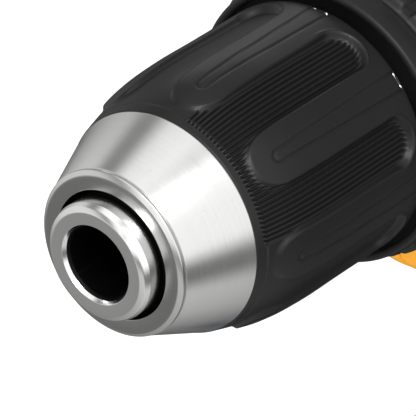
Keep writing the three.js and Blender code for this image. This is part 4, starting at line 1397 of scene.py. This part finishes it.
class DRILL_OT_battery(Maker, bpy.types.Operator):
    """Battery pack: tray, lid with its rails, charge lights and release button"""

    bl_idname = "drill.battery"
    bl_label = "Battery pack"

    def make(self, settings):
        step = detail_step(settings, 0.62)
        self.tray(step)
        self.lid(step)
        self.latch(detail_step(settings, 0.4))
        self.gauge(detail_step(settings, 0.35))

    def pack_skin(self, space):
        """The pack's outside, with ribs down its sides and a groove at the joint."""
        skin = space.upright(PACK)
        joint = np.abs(space.z - SPLIT_Z) - 0.45
        skin = np.maximum(skin, -np.maximum(joint, -(skin + 0.6)))
        rib = np.abs((space.y / 6.0) % 1 - 0.5) * 6 - 1.1
        patch = np.maximum(np.abs(space.y) - 30, np.abs(space.z - 10.4) - 4.6)
        near = -(skin + 0.7)
        return cut_away(skin, np.maximum(np.maximum(rib, patch), np.maximum(near, 20 - np.abs(space.x))), 0.5)

    def tray(self, step):
        space = Space((-41, -60, -2), (41, 60, SPLIT_Z + 2), step)
        skin = self.pack_skin(space)
        room = np.maximum(space.upright(PACK, -2.6), 2.6 - space.z)
        tray = np.maximum(np.maximum(skin, -room), space.z - SPLIT_Z + 0.12)
        for x in (-1, 1):
            for y in (-1, 1):
                dimple = space.rod((x * 27, y * 44, -1), (x * 27, y * 44, 0.8), 3.0)
                tray = cut_away(tray, dimple, 0.4)
        piece = moulded("battery_tray_moulding", space, tray, "battery_pack", "black_nylon", FINISHES["pack"],
                        replaces=("battery_tray",))
        keep_out_of_reflections(piece)

    def lid(self, step):
        space = Space((-41, -60, SPLIT_Z - 2), (41, 60, 50), step)
        skin = self.pack_skin(space)
        room = np.maximum(space.upright(PACK, -2.6), space.z - 33.2)
        lid = np.maximum(np.maximum(skin, -room), SPLIT_Z + 0.12 - space.z)
        web = space.box((-21, -47, 33.5), (21, 45, 48.6), 0.8)
        rail = np.minimum(web, space.box((-24.4, -47, 43), (24.4, 45, 48.6), 0.8))
        lid = np.minimum(lid, rail)
        lid = cut_away(lid, space.box((-18.5, -44, 28), (18.5, 8, 46), 0.5), 0.3)
        for x in (-12, 0, 12):
            lid = cut_away(lid, space.box((x - 1.5, 12, 42), (x + 1.5, 50, 52), 0.3), 0.3)
        (x0, _, z0), (x1, _, z1) = LATCH_BOX
        lid = cut_away(lid, space.box((x0 - 0.4, -70, z0 - 0.6), (x1 + 0.4, -48, z1 + 0.5), 0.8), 0.8)
        lid = cut_away(lid, space.box((-3.6, -50, 20), (3.6, -40, 26), 0.3), 0.3)
        lid = cut_away(lid, space.box((-13, 54.6, 21.6), (13, 60, 28.4), 1.5), 0.5)
        piece = moulded("battery_lid_moulding", space, lid, "battery_pack", "black_nylon", FINISHES["pack"],
                        replaces=("battery_lid",))
        keep_out_of_reflections(piece)

    def latch(self, step):
        low, high = LATCH_BOX
        space = box_space(low, high, step)
        face = space.box((low[0], low[1], low[2]), (high[0], low[1] + 4.2, high[2]), 1.2)
        for i in range(4):
            y, z = low[1] - 0.1, low[2] + 2.9 + i * 1.9
            face = cut_away(face, space.rod((low[0] + 3, y, z), (high[0] - 3, y, z), 0.6), 0.4)
        stem = space.box((-9, low[1] + 1.8, low[2] + 1), (9, high[1], low[2] + 8), 0.5)
        piece = moulded("latch_button_moulding", space, np.minimum(face, stem), "battery_latch",
                        "yellow_nylon", FINISHES["yellow"], replaces=("latch_button",))
        keep_out_of_reflections(piece)

    def gauge(self, step):
        """Three charge lights and their button, at the back of the pack."""
        space = Space((-14, 53, 21), (14, 57, 29), step)
        plate = space.box((-12.4, 53.4, 22.0), (12.4, 55.0, 28.0), 0.8)
        moulded("charge_gauge_plate", space, plate, "battery_pack", "black_nylon", FINISHES["black"])
        button = blend_max(space.rod((8, 54, 25), (8, 55.7, 25), 2.0), space.y - 55.6, 0.5)
        moulded("charge_gauge_button", space, button, "battery_pack", "grip_rubber", FINISHES["rubber"])
        for i, x in enumerate((-9, -4.4, 0.2)):
            light = space.box((x, 54.2, 23.6), (x + 3.2, 55.3, 26.4), 0.5)
            moulded(f"charge_light_{i + 1}", space, light, "battery_pack", "lamp_lens", FINISHES["white"])


# ---------------------------------------------------------------- inside


INNER_FINISH = {
    "jaw_nut": "hardened", "thrust_bearing": "tube", "chuck_rear_plate": "pressed", "chuck_screw": "hardened",
    "spindle": "tube", "spindle_bearing": "tube", "clutch_nut": "black", "clutch_spring": "wire",
    "clutch_plate": "pressed", "gear_case": "black", "output_carrier": "sintered", "carrier_1": "sintered",
    "carrier_2": "sintered", "ring_gear_1": "sintered", "ring_gear_2": "sintered", "ring_gear_3": "sintered",
    "motor_plate": "black", "motor_can": "pressed", "armature": "copper", "motor_pinion": "hardened",
    "motor_end_cap": "black", "cooling_fan": "black", "trigger_switch": "black", "trigger_spring": "wire",
    "shift_fork": "pressed", "terminal_block": "black", "cell_pack": "wrap", "latch_spring": "wire",
}


class DRILL_OT_works(Maker, bpy.types.Operator):
    """Finishes of the gears, the motor and the other pieces inside"""

    bl_idname = "drill.works"
    bl_label = "Works"

    def make(self, settings):
        for name, node in frame["nodes"].items():
            finish = INNER_FINISH.get(name)
            if name.startswith("planet"):
                finish = "sintered"
            if finish:
                node.data.materials.clear()
                node.data.materials.append(FINISHES[finish])


# ---------------------------------------------------------------- panel


OPERATORS = (
    DRILL_OT_stage, DRILL_OT_chuck, DRILL_OT_collar, DRILL_OT_housing, DRILL_OT_controls, DRILL_OT_fittings,
    DRILL_OT_battery, DRILL_OT_works,
)


class VIEW3D_PT_drill(bpy.types.Panel):
    """The drill's operators and settings, in the sidebar"""

    bl_label = "Cordless drill"
    bl_idname = "VIEW3D_PT_drill"
    bl_space_type = "VIEW_3D"
    bl_region_type = "UI"
    bl_category = "Drill"

    def draw(self, context):
        settings = settings_of(context)
        for name in settings.__annotations__:
            self.layout.prop(settings, name)
        for operator in OPERATORS:
            self.layout.operator(operator.bl_idname)


CLASSES = (DrillSettings, *OPERATORS, VIEW3D_PT_drill)


def register():
    for each in CLASSES:
        bpy.utils.register_class(each)
    bpy.types.Scene.drill = PointerProperty(type=DrillSettings)


def unregister():
    del bpy.types.Scene.drill
    for each in reversed(CLASSES):
        bpy.utils.unregister_class(each)


def main():
    register()
    make_finishes(bpy.context.scene.drill)
    for operator in OPERATORS:
        group, name = operator.bl_idname.split(".")
        getattr(getattr(bpy.ops, group), name)()


if __name__ == "__main__":
    main()
